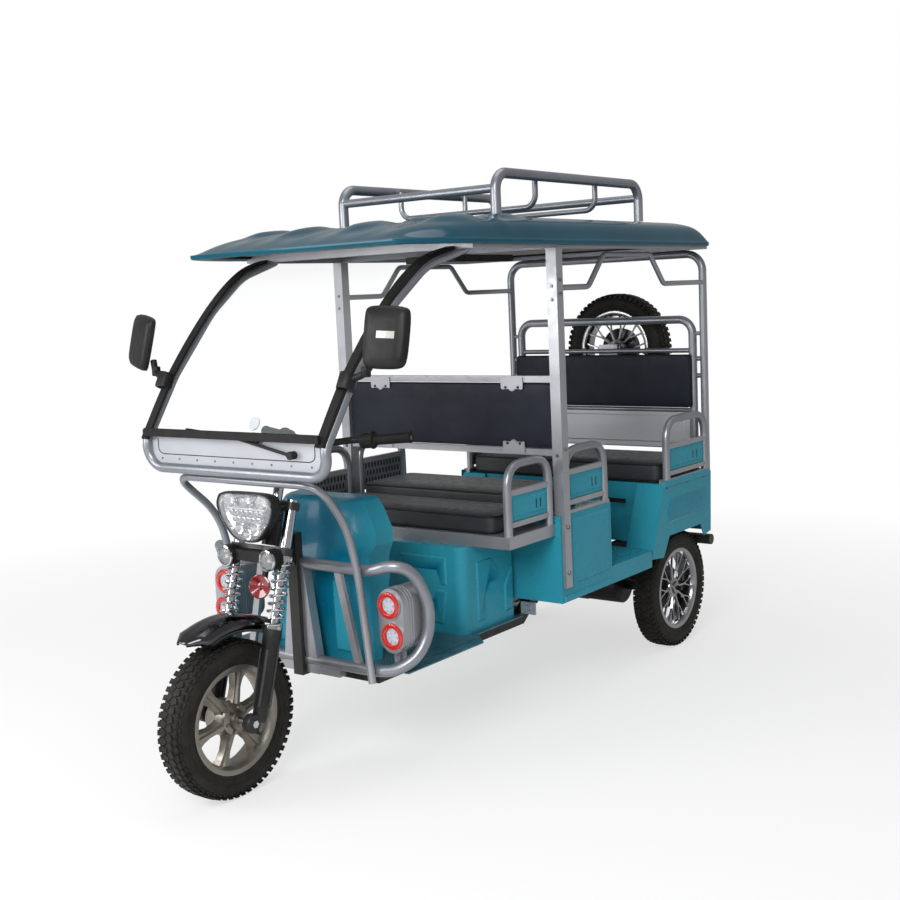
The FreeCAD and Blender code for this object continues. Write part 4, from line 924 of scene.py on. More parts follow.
def makeCushion(node, name, corner, flat):
    # one padded slab, lying flat or upright with its face forward
    low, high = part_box(node)
    if not flat:
        low, high = Vector((low.x, low.z, -high.y)), Vector((high.x, high.z, -low.y))

    def place(x, y, z):
        return (x, y, z) if flat else (x, -z, y)

    swell, squeeze, top = (0.009, 0.006, 0.010) if flat else (0.003, 0.001, 0.004)
    inset = 0.006
    bm = bmesh.new()
    nx, ny, nz = 40, 16, 5
    lo = low + Vector((inset, inset, 0.001))
    hi = high - Vector((inset, inset, top))
    grid = {}
    for i in range(nx + 1):
        for j in range(ny + 1):
            for k in range(nz + 1):
                if 0 < i < nx and 0 < j < ny and 0 < k < nz:
                    continue
                u, v, w = i / nx, j / ny, k / nz
                x = lo.x + (hi.x - lo.x) * u
                y = lo.y + (hi.y - lo.y) * v
                # corners pulled round in plan
                dx = min(x - lo.x, hi.x - x)
                dy = min(y - lo.y, hi.y - y)
                if dx < corner and dy < corner:
                    cx = lo.x + corner if x < (lo.x + hi.x) / 2 else hi.x - corner
                    cy = lo.y + corner if y < (lo.y + hi.y) / 2 else hi.y - corner
                    d = Vector((x - cx, y - cy))
                    far = max(abs(d.x), abs(d.y))
                    if d.length > 1e-9:
                        d = d.normalized() * far
                    x, y = cx + d.x, cy + d.y
                pull = squeeze * math.sin(math.pi * w) if (i in (0, nx) or j in (0, ny)) else 0
                edge = min(dx / 0.05, dy / 0.05, 1.0)
                z = lo.z + (hi.z - lo.z) * w
                if k == nz:
                    z += swell * math.sin(min(1.0, edge) * math.pi / 2)
                    for row in (0.34, 0.67):
                        z -= 0.45 * swell * math.exp(-((v - row) / 0.016) ** 2) * edge
                if i == 0:
                    x -= pull * 0.5
                if i == nx:
                    x += pull * 0.5
                grid[i, j, k] = bm.verts.new(place(x, y, z))
    def quad(a, b, c, d):
        bm.faces.new([grid[p] for p in (a, b, c, d)])
    for i in range(nx):
        for j in range(ny):
            quad((i, j, 0), (i + 1, j, 0), (i + 1, j + 1, 0), (i, j + 1, 0))
            quad((i, j, nz), (i, j + 1, nz), (i + 1, j + 1, nz), (i + 1, j, nz))
    for i in range(nx):
        for k in range(nz):
            quad((i, 0, k), (i, 0, k + 1), (i + 1, 0, k + 1), (i + 1, 0, k))
            quad((i, ny, k), (i + 1, ny, k), (i + 1, ny, k + 1), (i, ny, k + 1))
    for j in range(ny):
        for k in range(nz):
            quad((0, j, k), (0, j + 1, k), (0, j + 1, k + 1), (0, j, k + 1))
            quad((nx, j, k), (nx, j, k + 1), (nx, j + 1, k + 1), (nx, j + 1, k))
    obj = makeObject(name, bm, benchVinyl if flat else boardVinyl, "root", 60)
    soft = obj.modifiers.new("smooth", "SUBSURF")
    soft.levels = 1
    soft.render_levels = 1
    piping = bmesh.new()
    for z in (high.z - top - 0.004, low.z + 0.006):
        ring = []
        r = corner
        for cx, cy, start in ((hi.x - r, hi.y - r, 0), (lo.x + r, hi.y - r, 1), (lo.x + r, lo.y + r, 2),
                (hi.x - r, lo.y + r, 3)):
            for k in range(7):
                a = (start + k / 6) * math.pi / 2
                ring.append(place(cx + r * math.cos(a), cy + r * math.sin(a), z))
        addTube(piping, ring, 0.0032, 8, True)
    trim = makeObject(name + "Piping", piping, blackRubber, "root", 60)
    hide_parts(node)


for cushionNode, (cushionName, cornerSize, liesFlat) in cushions.items():
    makeCushion(cushionNode, cushionName, cornerSize, liesFlat)
print("cushions made")


# ---- windscreen band and foot strip ----

screen = {"line": ((-1.0106, 1.0549), (-0.8778, 1.2527), (-0.7005, 1.4473), (-0.5443, 1.5622),
        (-0.4007, 1.603)),
          "widths": (0.383, 0.3867, 0.3923, 0.4015, 0.418), "forward": 0.0165, "bandIn": 0.024,
              "bandOut": 0.010, "thick": 0.004}


def makeScreenBand():
    bm = bmesh.new()
    lineUp = smoothPath([(w, y, z) for w, (y, z) in zip(screen["widths"], screen["line"])], 8)
    for s in (-1, 1):
        rings = []
        for i, p in enumerate(lineUp):
            way = (lineUp[min(i + 1, len(lineUp) - 1)] - lineUp[max(i - 1, 0)]).normalized()
            out = Vector((0, -way.z, way.y)).normalized()
            front = p + out * (screen["forward"] + screen["thick"])
            back = p + out * (screen["forward"] - 0.004)
            edge = p + out * (screen["forward"] - 0.012)
            corners = [(front, -screen["bandIn"]), (front, screen["bandOut"] * 0.6),
                    (back, screen["bandOut"]), (edge, screen["bandOut"]),
                       (edge, screen["bandOut"] - 0.006), (back, -screen["bandIn"])]
            rings.append([bm.verts.new((s * (c.x + dx), c.y, c.z)) for c, dx in corners])
        for a, b in zip(rings, rings[1:]):
            for k in range(6):
                m = (k + 1) % 6
                bm.faces.new((a[k], a[m], b[m], b[k]))
        bm.faces.new(rings[0])
        bm.faces.new(rings[-1])
    low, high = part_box("windscreen_glass")
    foot = lineUp[0]
    addBox(bm, (-0.376, foot.y - 0.020, low.z - 0.006), (0.376, foot.y - 0.008, low.z + 0.014))
    addTube(bm, [(-0.374, foot.y - 0.014, low.z + 0.014), (0.374, foot.y - 0.014, low.z + 0.014)],
            0.005, 10)
    obj = makeObject("screenBand", bm, blackRubber, "root", 40)
    return foot


screenFoot = makeScreenBand()
print("windscreen band made")


# ---- raised panels on the teal mouldings ----

def addRelief(bm, outline, origin, across, up, out, height, slope):
    # a plateau with sloped sides, drawn in its own plane
    origin, across, up, out = Vector(origin), Vector(across), Vector(up), Vector(out)
    count = len(outline)
    following = outline[1:] + outline[:1]
    area = sum(a[0] * b[1] - b[0] * a[1] for a, b in zip(outline, following))
    sign = 1 if area > 0 else -1
    inner = []
    for i in range(count):
        a, b, c = (Vector(outline[(i + k) % count]) for k in (-1, 0, 1))
        n1 = Vector((-(b - a).y, (b - a).x)).normalized() * sign
        n2 = Vector((-(c - b).y, (c - b).x)).normalized() * sign
        n = (n1 + n2)
        inner.append(b + n * slope / max(0.35, n.dot(n1)))
    base = [bm.verts.new(origin + across * u + up * v - out * 0.0006) for u, v in outline]
    top = [bm.verts.new(origin + across * p.x + up * p.y + out * height) for p in inner]
    for i in range(count):
        j = (i + 1) % count
        bm.faces.new((base[i], base[j], top[j], top[i]))
    bm.faces.new(top)
    bm.faces.new(list(reversed(base)))


reliefs = {"height": 0.0045, "slope": 0.007}


def makeReliefs():
    bm = bmesh.new()
    h, sl = reliefs["height"], reliefs["slope"]
    low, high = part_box("driver_seat_box")
    fx, fy, z0 = high.x, low.y, low.z
    # front of the seat box: an L-shaped panel and a slanted one on each side, mirrored
    for s in (-1, 1):
        def m(points):
            return [(s * u, v) for u, v in points]
        addRelief(bm, m([(0.035, 0.265), (0.235, 0.265), (0.235, 0.165), (0.205, 0.165), (0.190, 0.215),
                (0.060, 0.215), (0.035, 0.235)]),
                  (0, fy, z0), (1, 0, 0), (0, 0, 1), (0, -1, 0), h, sl)
        addRelief(bm, m([(0.105, 0.030), (0.215, 0.030), (0.235, 0.150), (0.185, 0.150), (0.175, 0.120),
                (0.095, 0.120)]),
                  (0, fy, z0), (1, 0, 0), (0, 0, 1), (0, -1, 0), h, sl)
        # its sides
        addRelief(bm, [(0.075, 0.24), (0.16, 0.24), (0.205, 0.19), (0.205, 0.15), (0.15, 0.15),
                (0.12, 0.11), (0.12, 0.03), (0.075, 0.03)],
                  (s * fx, fy, z0), (0, 1, 0), (0, 0, 1), (s, 0, 0), h, sl)
        addRelief(bm, [(0.235, 0.125), (0.285, 0.185), (0.285, 0.03), (0.235, 0.03)],
                  (s * fx, fy, z0), (0, 1, 0), (0, 0, 1), (s, 0, 0), h, sl)
    # middle body: a flat side panel behind each post and a sill line
    low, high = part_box("middle_body")
    for s in (-1, 1):
        addRelief(bm, [(0.075, 0.055), (0.325, 0.055), (0.325, 0.285), (0.075, 0.285)],
                  (s * high.x, low.y, low.z), (0, 1, 0), (0, 0, 1), (s, 0, 0), 0.004, 0.006)
        addRelief(bm, [(0.012, 0.0), (0.338, 0.0), (0.338, 0.026), (0.012, 0.026)],
                  (s * high.x, low.y, low.z), (0, 1, 0), (0, 0, 1), (s, 0, 0), 0.006, 0.004)
    # rear body: pressed side panel, top lip and tail panel
    low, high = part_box("rear_body")
    for s in (-1, 1):
        addRelief(bm, [(0.140, 0.130), (0.440, 0.130), (0.470, 0.165), (0.470, 0.235), (0.150, 0.235),
                (0.115, 0.175)],
                  (s * high.x, low.y, low.z), (0, 1, 0), (0, 0, 1), (s, 0, 0), 0.004, 0.008)
        addRelief(bm, [(0.105, 0.272), (0.505, 0.272), (0.508, 0.300), (0.105, 0.300)],
                  (s * high.x, low.y, low.z), (0, 1, 0), (0, 0, 1), (s, 0, 0), 0.005, 0.004)
        addRelief(bm, [(0.05, 0.06), (0.26, 0.06), (0.28, 0.24), (0.05, 0.24)] if s > 0 else
                  [(-0.05, 0.06), (-0.26, 0.06), (-0.28, 0.24), (-0.05, 0.24)],
                  (0, high.y - 0.001, low.z), (1, 0, 0), (0, 0, 1), (0, 1, 0), 0.004, 0.008)
    obj = makeObject("tealReliefs", bm, tealPaint, "root", 28)


makeReliefs()
print("raised panels made")


# ---- leg shield with its two faceted shoulders ----

shieldFit = {"wide": 0.839, "deep": 0.758, "back": -0.561}


def makeLegShield():
    rows = [  # height, then half the plan from the middle outwards: flat, facet, side
        (0.334, [(0.0, -0.733), (0.090, -0.735), (0.205, -0.735), (0.232, -0.722), (0.258, -0.690),
                (0.266, -0.655)]),
        (0.470, [(0.0, -0.733), (0.092, -0.737), (0.206, -0.738), (0.230, -0.724), (0.256, -0.690),
                (0.264, -0.620)]),
        (0.600, [(0.0, -0.730), (0.094, -0.738), (0.198, -0.739), (0.222, -0.724), (0.250, -0.686),
                (0.258, -0.566)]),
        (0.650, [(0.0, -0.722), (0.080, -0.732), (0.190, -0.734), (0.216, -0.716), (0.244, -0.680),
                (0.252, -0.561)]),
        (0.672, [(0.0, -0.706), (0.066, -0.716), (0.188, -0.736), (0.218, -0.716), (0.252, -0.676),
                (0.260, -0.561)]),
        (0.700, [(0.0, -0.698), (0.060, -0.708), (0.192, -0.744), (0.232, -0.718), (0.270, -0.668),
                (0.277, -0.561)]),
        (0.742, [(0.0, -0.690), (0.056, -0.700), (0.184, -0.742), (0.230, -0.710), (0.271, -0.660),
                (0.279, -0.561)]),
        (0.812, [(0.0, -0.680), (0.050, -0.688), (0.156, -0.726), (0.190, -0.700), (0.226, -0.650),
                (0.238, -0.561)]),
        (0.836, [(0.0, -0.672), (0.050, -0.678), (0.142, -0.710), (0.172, -0.688), (0.206, -0.642),
                (0.216, -0.561)]),
        (0.845, [(0.0, -0.655), (0.054, -0.658), (0.130, -0.680), (0.156, -0.664), (0.186, -0.632),
                (0.196, -0.563)])]
    bm = bmesh.new()
    rings = []
    for z, plan in rows:
        right = [(x * shieldFit["wide"],
                shieldFit["back"] + (y - shieldFit["back"]) * shieldFit["deep"]) for x, y in plan]
        whole = [(-x, y) for x, y in reversed(right[1:])] + right
        rings.append([bm.verts.new((x, y, z)) for x, y in whole])
    count = len(rings[0])
    for a, b in zip(rings, rings[1:]):
        for k in range(count - 1):
            bm.faces.new((a[k], a[k + 1], b[k + 1], b[k]))
    backs = [[bm.verts.new((s * abs(ring[0].co.x) * 0.97, ring[0].co.y + 0.0015,
            ring[0].co.z)) for s in (-1, 1)] for ring in rings]
    for (a, b), (c, d), low, high in zip(backs, backs[1:], rings, rings[1:]):
        bm.faces.new((low[0], high[0], c, a))
        bm.faces.new((low[-1], high[-1], d, b))
        bm.faces.new((a, b, d, c))
    bm.faces.new(rings[-1] + [backs[-1][1], backs[-1][0]])
    bm.faces.new(rings[0] + [backs[0][1], backs[0][0]])
    bevelled(bm, 0.006, 2, 14)
    obj = makeObject("legShield", bm, tealPaint, "root", 24)
    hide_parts("leg_shield")
    panel = bmesh.new()
    for s in (-1, 1):
        points = [(0.088, 0.36), (0.165, 0.36), (0.160, 0.585), (0.148, 0.605), (0.098, 0.605),
                (0.085, 0.585)]
        addRelief(panel, [(s * x, z) for x, z in points], (0, -0.6945, 0), (1, 0, 0), (0, 0, 1),
                (0, -1, 0), 0.004, 0.006)
    pressed = makeObject("shieldPanels", panel, tealPaint, "root", 28)


makeLegShield()
print("leg shield made")


# ---- armrests ----

armrests = {"front_armrests": ("frontArmrest", 0.056), "middle_armrests": ("middleArmrest", 0.056),
            "rear_armrests": ("rearArmrest", 0.060)}


def addSlots(bm, face, low, high, rows, pitch):
    # black oval discs on a plate that faces along X, standing for its slots: painted shade of the holes
    x, out = face
    for r in range(rows):
        z = low[1] + (high[1] - low[1]) * (r + 0.5) / rows
        y = low[0] + pitch * (0.7 + 0.5 * (r % 2))
        while y < high[0] - pitch * 0.6:
            points = []
            for side, turn in ((1, 0), (-1, math.pi)):
                for k in range(6):
                    a = turn + math.pi * k / 5
                    points.append((y + 0.0040 * math.cos(a), z + 0.0065 * side + 0.0040 * math.sin(a)))
            ring = [bm.verts.new((x + out * 0.0006, py, pz)) for py, pz in points]
            base = [bm.verts.new((x - out * 0.0004, py, pz)) for py, pz in points]
            bm.faces.new(ring)
            bm.faces.new(base)
            for k in range(len(ring)):
                m = (k + 1) % len(ring)
                bm.faces.new((ring[k], ring[m], base[m], base[k]))
            y += pitch


def makeArmrests():
    for node, (name, bend) in armrests.items():
        low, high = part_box(node)
        r = 0.015
        silver, teal, plate, holes = bmesh.new(), bmesh.new(), bmesh.new(), bmesh.new()
        for s in (-1, 1):
            x = s * (high.x - r)
            front, back, foot, top = low.y + r, high.y - r, low.z, high.z - r
            loop = roundedPath([(x, front, foot), (x, front, top), (x, back, top), (x, back, foot)],
                    bend * 1.5, 8)
            addTube(silver, loop, r, 18)
            for z in (foot + 0.036, foot + 0.142):
                addBox(silver, (x - 0.008, front, z - 0.009), (x + 0.008, back, z + 0.009))
            zl, zh = foot + 0.046, foot + 0.132
            addBox(teal, (x + s * 0.0005 - 0.0025, front + 0.010, zl),
                    (x + s * 0.0005 + 0.0025, back - 0.010, zh))
            addRelief(teal, [(front + 0.024, zl + 0.012), (back - 0.024, zl + 0.012),
                    (back - 0.024, zh - 0.012), (front + 0.024, zh - 0.012)],
                      (x + s * 0.003, 0, 0), (0, 1, 0), (0, 0, 1), (s, 0, 0), 0.0025, 0.004)
            # the two short slots are thin black boxes: painted shade of the slot holes
            for k in (0.66, 0.76):   # two short slots in the panel
                y = front + (back - front) * k
                addBox(holes, (x + s * 0.0052 - 0.0006, y - 0.003, zl + 0.026),
                        (x + s * 0.0052 + 0.0006, y + 0.003, zl + 0.058))
            inner = x - s * 0.0055
            addBox(plate, (inner - 0.0012, front + 0.012, foot + 0.028),
                    (inner + 0.0012, back - 0.012, foot + 0.150))
            addSlots(holes, (inner - s * 0.0012, -s), (front + 0.016, foot + 0.046),
                    (back - 0.016, foot + 0.134), 3, 0.0185)
        tubes = makeObject(name + "Tubes", silver, silverPaint, "root", 40)
        panels = makeObject(name + "Panels", teal, tealPaint, "root", 30)
        plates = makeObject(name + "Plates", plate, slotPlate, "root", 30)
        # the slots are black discs and strips on the surface: painted shade of holes
        slotsDark = makeObject(name + "Slots", holes, blackPlastic, "root", 30)
        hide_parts(node)


makeArmrests()
print("armrests made")


# ---- mirrors ----

mirrorHeads = {"lean": -10}


def makeMirrors():
    shell, glass, sticker, clampPart = bmesh.new(), bmesh.new(), bmesh.new(), bmesh.new()
    for s, y, turn in ((1, 0.05 - 0.952, 6), (-1, 0.05 - 0.938, -18)):
        centre = Vector((s * 0.53, y, 1.361))
        base = (Matrix.Translation(centre) @ Matrix.Rotation(math.radians(turn), 4, "Z")
                @ Matrix.Rotation(math.radians(mirrorHeads["lean"]), 4,
                        "X") @ Matrix.Rotation(math.radians(3 if s > 0 else 9), 4, "Y"))
        outline = smoothOutline([(-0.052, -0.089), (0.056, -0.086), (0.074, -0.064), (0.0735, 0.070),
                (0.056, 0.088), (-0.060, 0.089),
                                 (-0.074, 0.072), (-0.068, -0.072)], 4, 0.4)
        if s < 0:
            outline = [(-x, z) for x, z in outline]
        rings = []
        for depth, share in ((0.013, 0.955), (0.0135, 1.0), (0.004, 1.0), (-0.006, 0.96),
                (-0.012, 0.84), (-0.0138, 0.55)):
            rings.append([shell.verts.new(base @ Vector((px * share, depth, pz * share))) for px,
                    pz in outline])
        for a, b in zip(rings, rings[1:]):
            for k in range(len(a)):
                m = (k + 1) % len(a)
                shell.faces.new((a[k], a[m], b[m], b[k]))
        shell.faces.new(rings[-1])
        shell.faces.new(rings[0])
        face = [glass.verts.new(base @ Vector((px * 0.93, 0.0134, pz * 0.93))) for px, pz in outline]
        edge = [glass.verts.new(base @ Vector((px * 0.93, 0.0120, pz * 0.93))) for px, pz in outline]
        glass.faces.new(face)
        glass.faces.new(edge)
        for k in range(len(face)):
            m = (k + 1) % len(face)
            glass.faces.new((face[k], face[m], edge[m], edge[k]))
        if s > 0:
            patch = base @ Matrix.Translation((0.010, -0.0142, 0.006))
            addBox(sticker, (-0.030, -0.0004, -0.010), (0.030, 0.0006, 0.010), patch)
        clampAt = Vector((s * 0.391, -1.001 + 0.090, 1.238))
        way = Vector((0, 0.45, 0.89)).normalized()
        addLathe(clampPart, [(0.017, -0.001), (0.025, -0.001), (0.0262, 0.003), (0.0262, 0.044),
                (0.025, 0.048), (0.017, 0.048)],
                 along(way, clampAt - Vector((0, 0.014, 0.022))), 28)
        elbow = Vector((s * 0.462, centre.y - 0.004, 1.262))
        arm = roundedPath([(s * 0.398, clampAt.y, clampAt.z + 0.004), elbow,
                (s * 0.478, centre.y + 0.004, 1.300)], 0.03, 8)
        addTube(clampPart, arm, 0.0105, 14)
        for place, direction, radius, length in ((arm[0], arm[1] - arm[0], 0.0135, 0.022),
                (Vector(elbow) - Vector((s * 0.004, 0, -0.004)), Vector((0, 0, 1)), 0.014, 0.030)):
            turnTo = along(direction, Vector(place) - Vector(direction).normalized() * length * 0.5)
            addLathe(clampPart, [(0.0, 0.0), (radius * 0.9, 0.0), (radius, 0.003),
                    (radius, length - 0.003), (radius * 0.9, length), (0.0, length)], turnTo, 20, 0,
                        False)
    heads = makeObject("mirrorShells", shell, blackPlastic, "root", 50)
    faces = makeObject("mirrorFaces", glass, chromePlate, "root", 30)
    patch = makeObject("mirrorPatch", sticker, plainSticker, "root", 30)
    stalks = makeObject("mirrorArms", clampPart, blackPlastic, "root", 45)
    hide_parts("mirrors")


makeMirrors()
print("mirrors made")


# ---- small fittings: bolts, brackets, rivets, handle, horn, latch ----

def addBolt(bm, place, out, size=0.007, height=0.005):
    addLathe(bm, [(0.0, height), (size * 0.8, height), (size, height * 0.6), (size, -0.001),
            (0.0, -0.001)], along(out, place), 6, 0, False)


def makeFittings():
    bright, dark, silver, red, sticker = (bmesh.new() for _ in range(5))
    for s in (-1, 1):
        for z in (1.504, 1.458, 0.93, 0.66, 0.50):
            addBolt(bright, (s * 0.502, 0.05, z), (s, 0, 0))
            addBolt(bright, (s * 0.482, 0.030, z - 0.02), (0, -1, 0), 0.006, 0.004)
        for y in (0.80, 0.97, 1.12):
            addBolt(bright, (s * 0.490, y, 0.686), (s, 0, 0), 0.005, 0.004)
        # latch under the seat frame
        addBox(silver, (s * 0.366 - 0.030, -0.012, 0.352), (s * 0.366 + 0.030, -0.006, 0.394))
        addBox(silver, (s * 0.366 - 0.010, -0.024, 0.372), (s * 0.366 + 0.010, -0.008, 0.384))
        # wavy brackets that hold the backrest board
        for z0, hang in ((1.164, -1), (0.924, 1)):
            outline = []
            for k in range(41):
                u = -0.045 + 0.090 * k / 40
                wave = 0.030 + 0.0055 * math.cos(u / 0.045 * math.pi * 2.0) - 0.010 * (abs(u) / 0.045) ** 6
                outline.append((u, hang * wave))
            outline += [(0.047, 0.0), (-0.047, 0.0)]
            front = [silver.verts.new((s * 0.300 + u, 0.0345, z0 + v)) for u, v in outline]
            back = [silver.verts.new((s * 0.300 + u, 0.0385, z0 + v)) for u, v in outline]
            silver.faces.new(front)
            silver.faces.new(back)
            for k in range(len(front)):
                m = (k + 1) % len(front)
                silver.faces.new((front[k], front[m], back[m], back[k]))
            for u in (-0.026, 0.026):
                addBolt(dark, (s * 0.300 + u, 0.0345, z0 + hang * 0.022), (0, -1, 0), 0.005, 0.003)
    # rivets, and a thin dark line round the dash panel for its pressed line: painted shade in the crease
    low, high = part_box("dash_panel")
    for k in range(9):
        addBolt(bright, (low.x + 0.045 + (high.x - low.x - 0.09) * k / 8, low.y, low.z + 0.014),
                (0, -1, 0), 0.0035, 0.002)
    line = roundedPath([(low.x + 0.03, low.y - 0.0002, high.z - 0.012),
            (low.x + 0.03, low.y - 0.0002, low.z + 0.028),
                        (high.x - 0.03, low.y - 0.0002, low.z + 0.028),
                            (high.x - 0.03, low.y - 0.0002, high.z - 0.012)], 0.03, 6)
    addTube(dark, line, 0.0014, 6)
    addLathe(sticker, [(0.0, 0.001), (0.021, 0.001), (0.021, -0.002), (0.0, -0.002)],
            along((0, -1, 0.5), (0.078, screenFoot.y + 0.028, 1.119)), 36, 0, False)
    # slot handle in the bench front as a thin dark box: painted shade of the recess
    addBox(dark, (0.255, 0.7485, 0.622), (0.333, 0.7515, 0.640))
    # horn between the springs
    horn = along((0.25, -0.95, 0.1), onSteering(0.40, 0.012, 0.0))
    addLathe(red, [(0.0, -0.022), (0.020, -0.022), (0.030, -0.008), (0.036, 0.006), (0.038, 0.010),
            (0.034, 0.012), (0.012, 0.004), (0.0, 0.010)], horn, 32, 0, False)
    addTube(dark, [onSteering(0.40, 0.0, 0.0), onSteering(0.505, 0.0, 0.0)], 0.008, 10)
    pieces = ((makeObject("boltHeads", bright, boltSteel, "root", 35), "chrome"),
            (makeObject("darkFittings", dark, blackPlastic, "root", 35), "black_plastic"),
              (makeObject("silverBrackets", silver, silverPaint, "root", 35), "silver"),
                  (makeObject("screenSticker", sticker, paleSilver, "root", 35), "silver"))
    hornPiece = makeObject("horn", red, hornRed, "steering", 35)


makeFittings()
print("fittings made")


# ---- front guard with smooth bends ----

guard = {"plane": -0.755, "loop": 0.0185, "hoop": 0.0122}


def makeGuard():
    bm = bmesh.new()
    y = guard["plane"]
    for s in (-1, 1):
        points = [(0.0, y, 0.650), (0.170, y, 0.650), (0.294, y - 0.002, 0.652),
                (0.369, y + 0.012, 0.668), (0.410, y + 0.045, 0.654),
                  (0.428, y + 0.078, 0.606), (0.435, y + 0.104, 0.530), (0.433, y + 0.098, 0.450),
                      (0.416, y + 0.062, 0.386),
                  (0.372, y + 0.022, 0.350), (0.309, y + 0.002, 0.340), (0.170, y, 0.338),
                          (0.0, y, 0.338)]
        addTube(bm, smoothPath([(s * px, py, pz) for px, py, pz in points], 7), guard["loop"], 20)
        flats = (((-0.014, 0.029), (0.030, 0.078), 0.662, 0.298, -0.0148, 0.0185),
                ((0.151, 0.177), (0.223, 0.249), 0.650, 0.338, -0.006, 0.008))
        for (a, b), (c, d), top, foot, before, behind in flats:
            upper = [bm.verts.new((s * px, y + py, top)) for px,
                    py in ((a, before), (b, before), (b, behind), (a, behind))]
            lower = [bm.verts.new((s * px, y + py, foot)) for px,
                    py in ((c, before), (d, before), (d, behind), (c, behind))]
            bm.faces.new(upper)
            bm.faces.new(lower)
            for k in range(4):
                m = (k + 1) % 4
                bm.faces.new((upper[k], upper[m], lower[m], lower[k]))
    leg = [(0.312, y - 0.0295, 0.310), (0.278, y - 0.0295, 0.640), (0.279, -0.827, 0.800),
            (0.310, -0.968, 0.941)]
    route = [(-px, py, pz) for px, py, pz in leg] + list(reversed(leg))
    addTube(bm, roundedPath(route, 0.075, 8), guard["hoop"], 16)
    addBox(bm, (-0.160, y - 0.010, 0.298), (0.160, y + 0.020, 0.334))
    obj = makeObject("frontGuard", bm, silverPaint, "root", 40)
    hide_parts("front_guard")


makeGuard()
print("guard made")


# ---- silver edge rails, rear panel, grips ----

def makeRails():
    silver, pale = bmesh.new(), bmesh.new()
    for s in (-1, 1):
        addBox(silver, (s * 0.476 - 0.014, 0.790, 0.6995), (s * 0.476 + 0.014, 1.164, 0.7165))
        addBox(silver, (s * 0.474 - 0.014, 0.074, 0.6995), (s * 0.474 + 0.014, 0.358, 0.7110))
    addBox(pale, (-0.408, 1.1735, 0.795), (0.408, 1.1762, 0.948))
    addRelief(pale, [(-0.385, 0.812), (0.385, 0.812), (0.385, 0.930), (-0.385, 0.930)], (0, 1.1735, 0),
            (1, 0, 0), (0, 0, 1), (0, -1, 0), 0.003, 0.006)
    rails = makeObject("edgeRails", silver, silverPaint, "root", 35)
    panel = makeObject("rearPanel", pale, paleSilver, "root", 30)


grips = {"inner": (0.200, -0.588, 1.028), "tip": (0.325, -0.552, 1.037)}


def makeGrips():
    black, bright = bmesh.new(), bmesh.new()
    for s in (-1, 1):
        inner = Vector((s * grips["inner"][0], grips["inner"][1], grips["inner"][2]))
        way = (Vector((s * grips["tip"][0], grips["tip"][1], grips["tip"][2])) - inner).normalized()
        turn = along(way, inner)
        addLathe(black, [(0.0115, -0.012), (0.027, -0.011), (0.029, -0.006), (0.0275, -0.001),
                (0.0185, 0.004), (0.0168, 0.012)] +
                 [(0.0166 + 0.0008 * (k % 2), 0.014 + 0.0045 * k) for k in range(23)] + [(0.0185,
                         0.120), (0.0185, 0.125), (0.0115, 0.126)], turn, 32)
        addLathe(bright, [(0.0, 0.131), (0.009, 0.1305), (0.0112, 0.128), (0.0112, 0.124),
                (0.0, 0.124)], turn, 24, 0, False)
        # switch block and lever
        addLathe(black, [(0.0115, -0.046), (0.023, -0.045), (0.0255, -0.040), (0.0255, -0.018),
                (0.0225, -0.013), (0.0115, -0.013)], turn, 24)
        lever = smoothPath([turn @ Vector((0.018, -0.004 * s, -0.035)),
                turn @ Vector((0.050, 0, -0.020)), turn @ Vector((0.062, 0, 0.030)),
                    turn @ Vector((0.056, 0, 0.105))], 8)
        addTube(bright, lever, 0.0040, 10)
    covers = makeObject("gripCovers", black, blackRubber, "steering", 40)
    levers = makeObject("brakeLevers", bright, rimChrome, "steering", 40)


makeRails()
makeGrips()
print("rails and grips made")


# ---- camera, light and stage ----

camera = {"place": (2.7663, -3.5334, 1.4627), "yaw": -37.609, "pitch": -6.983, "roll": -2.555,
        "lens": 49.89}


def makeCamera():
    data = bpy.data.cameras.new("camera")
    data.lens = camera["lens"]
    data.sensor_width = 36
    data.clip_end = 60
    obj = bpy.data.objects.new("camera", data)
    scene.collection.objects.link(obj)
    yaw, pitch, roll = (math.radians(camera[k]) for k in ("yaw", "pitch", "roll"))
    ahead = Vector((math.sin(yaw) * math.cos(pitch), math.cos(yaw) * math.cos(pitch), math.sin(pitch)))
    right = Vector((math.cos(yaw), -math.sin(yaw), 0))
    up = right.cross(ahead)
    right2 = right * math.cos(roll) + up * math.sin(roll)
    up2 = up * math.cos(roll) - right * math.sin(roll)
    turn = Matrix((right2, up2, -ahead)).transposed().to_4x4()
    obj.matrix_world = Matrix.Translation(camera["place"]) @ turn
    scene.camera = obj


def addAreaLight(name, place, target, size, power):
    data = bpy.data.lights.new(name, "AREA")
    data.shape = "RECTANGLE"
    data.size, data.size_y = size
    data.energy = power
    obj = bpy.data.objects.new(name, data)
    scene.collection.objects.link(obj)
    obj.matrix_world = along(Vector(place) - Vector(target), place)
    return obj


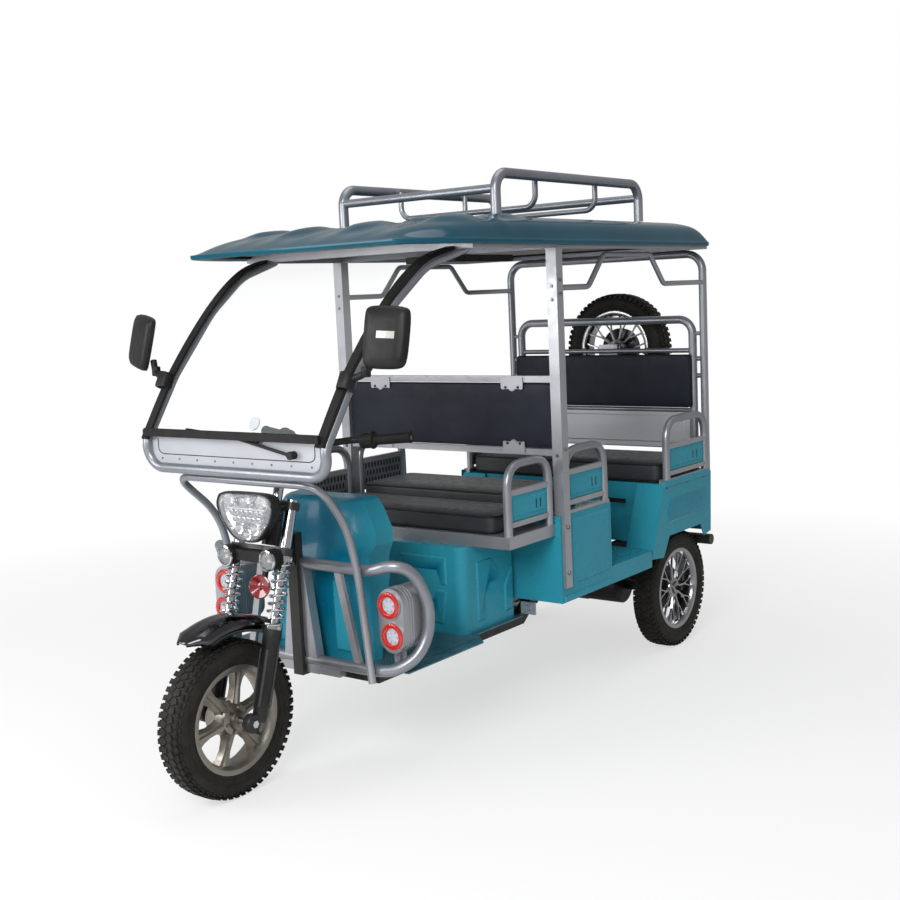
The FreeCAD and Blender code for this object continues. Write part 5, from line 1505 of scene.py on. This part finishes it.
def makeStage():
    floor = bmesh.new()
    size = 30
    floor.faces.new([floor.verts.new(p) for p in ((-size, -size, 0), (size, -size, 0), (size, size, 0),
            (-size, size, 0))])
    mesh = bpy.data.meshes.new("floor")
    floor.to_mesh(mesh)
    floor.free()
    material = bpy.data.materials.new("paleFloor")
    material.use_nodes = True
    tree = material.node_tree
    shader = tree.nodes["Principled BSDF"]
    shader.inputs["Base Color"].default_value = (0.82, 0.82, 0.82, 1)
    shader.inputs["Roughness"].default_value = 0.9
    # the floor fades to plain white away from the object, so its shadow stays and no horizon shows
    glow = tree.nodes.new("ShaderNodeEmission")
    glow.inputs["Strength"].default_value = 1.0
    place = tree.nodes.new("ShaderNodeNewGeometry")
    far = tree.nodes.new("ShaderNodeVectorMath")
    far.operation = "LENGTH"
    tree.links.new(place.outputs["Position"], far.inputs[0])
    fade = ranged(tree, far.outputs["Value"], 0.62, 1.0, 1.6, 4.2)
    rays = tree.nodes.new("ShaderNodeLightPath")
    seen = tree.nodes.new("ShaderNodeMath")
    seen.operation = "MAXIMUM"
    tree.links.new(rays.outputs["Is Camera Ray"], seen.inputs[0])
    tree.links.new(rays.outputs["Is Transmission Ray"], seen.inputs[1])
    share = tree.nodes.new("ShaderNodeMath")
    share.operation = "MULTIPLY"
    tree.links.new(fade, share.inputs[0])
    tree.links.new(seen.outputs[0], share.inputs[1])
    blend = tree.nodes.new("ShaderNodeMixShader")
    tree.links.new(share.outputs[0], blend.inputs[0])
    tree.links.new(shader.outputs[0], blend.inputs[1])
    tree.links.new(glow.outputs[0], blend.inputs[2])
    tree.links.new(blend.outputs[0], tree.nodes["Material Output"].inputs["Surface"])
    mesh.materials.append(material)
    obj = bpy.data.objects.new("floor", mesh)
    scene.collection.objects.link(obj)
    world = bpy.data.worlds.new("studio")
    scene.world = world
    world.use_nodes = True
    tree = world.node_tree
    background = tree.nodes["Background"]
    seen = tree.nodes.new("ShaderNodeBackground")
    seen.inputs["Color"].default_value = (1, 1, 1, 1)
    seen.inputs["Strength"].default_value = 1.0
    background.inputs["Color"].default_value = (1, 1, 1, 1)
    background.inputs["Strength"].default_value = 0.42
    path = tree.nodes.new("ShaderNodeLightPath")
    mix = tree.nodes.new("ShaderNodeMixShader")
    either = tree.nodes.new("ShaderNodeMath")
    either.operation = "MAXIMUM"
    tree.links.new(path.outputs["Is Camera Ray"], either.inputs[0])
    tree.links.new(path.outputs["Is Transmission Ray"], either.inputs[1])
    tree.links.new(either.outputs[0], mix.inputs["Fac"])
    tree.links.new(background.outputs[0], mix.inputs[1])
    tree.links.new(seen.outputs[0], mix.inputs[2])
    tree.links.new(mix.outputs[0], tree.nodes["World Output"].inputs["Surface"])


makeCamera()
makeStage()
addAreaLight("key", (1.9, -4.6, 3.3), (0, -0.2, 0.8), (2.4, 2.4), 190)
addAreaLight("front", (-1.9, -3.6, 1.9), (0.2, 0.3, 0.6), (1.6, 1.8), 70)
addAreaLight("top", (0.0, 0.3, 5.2), (0, 0.2, 1.0), (3.5, 3.5), 70)
print("stage made")
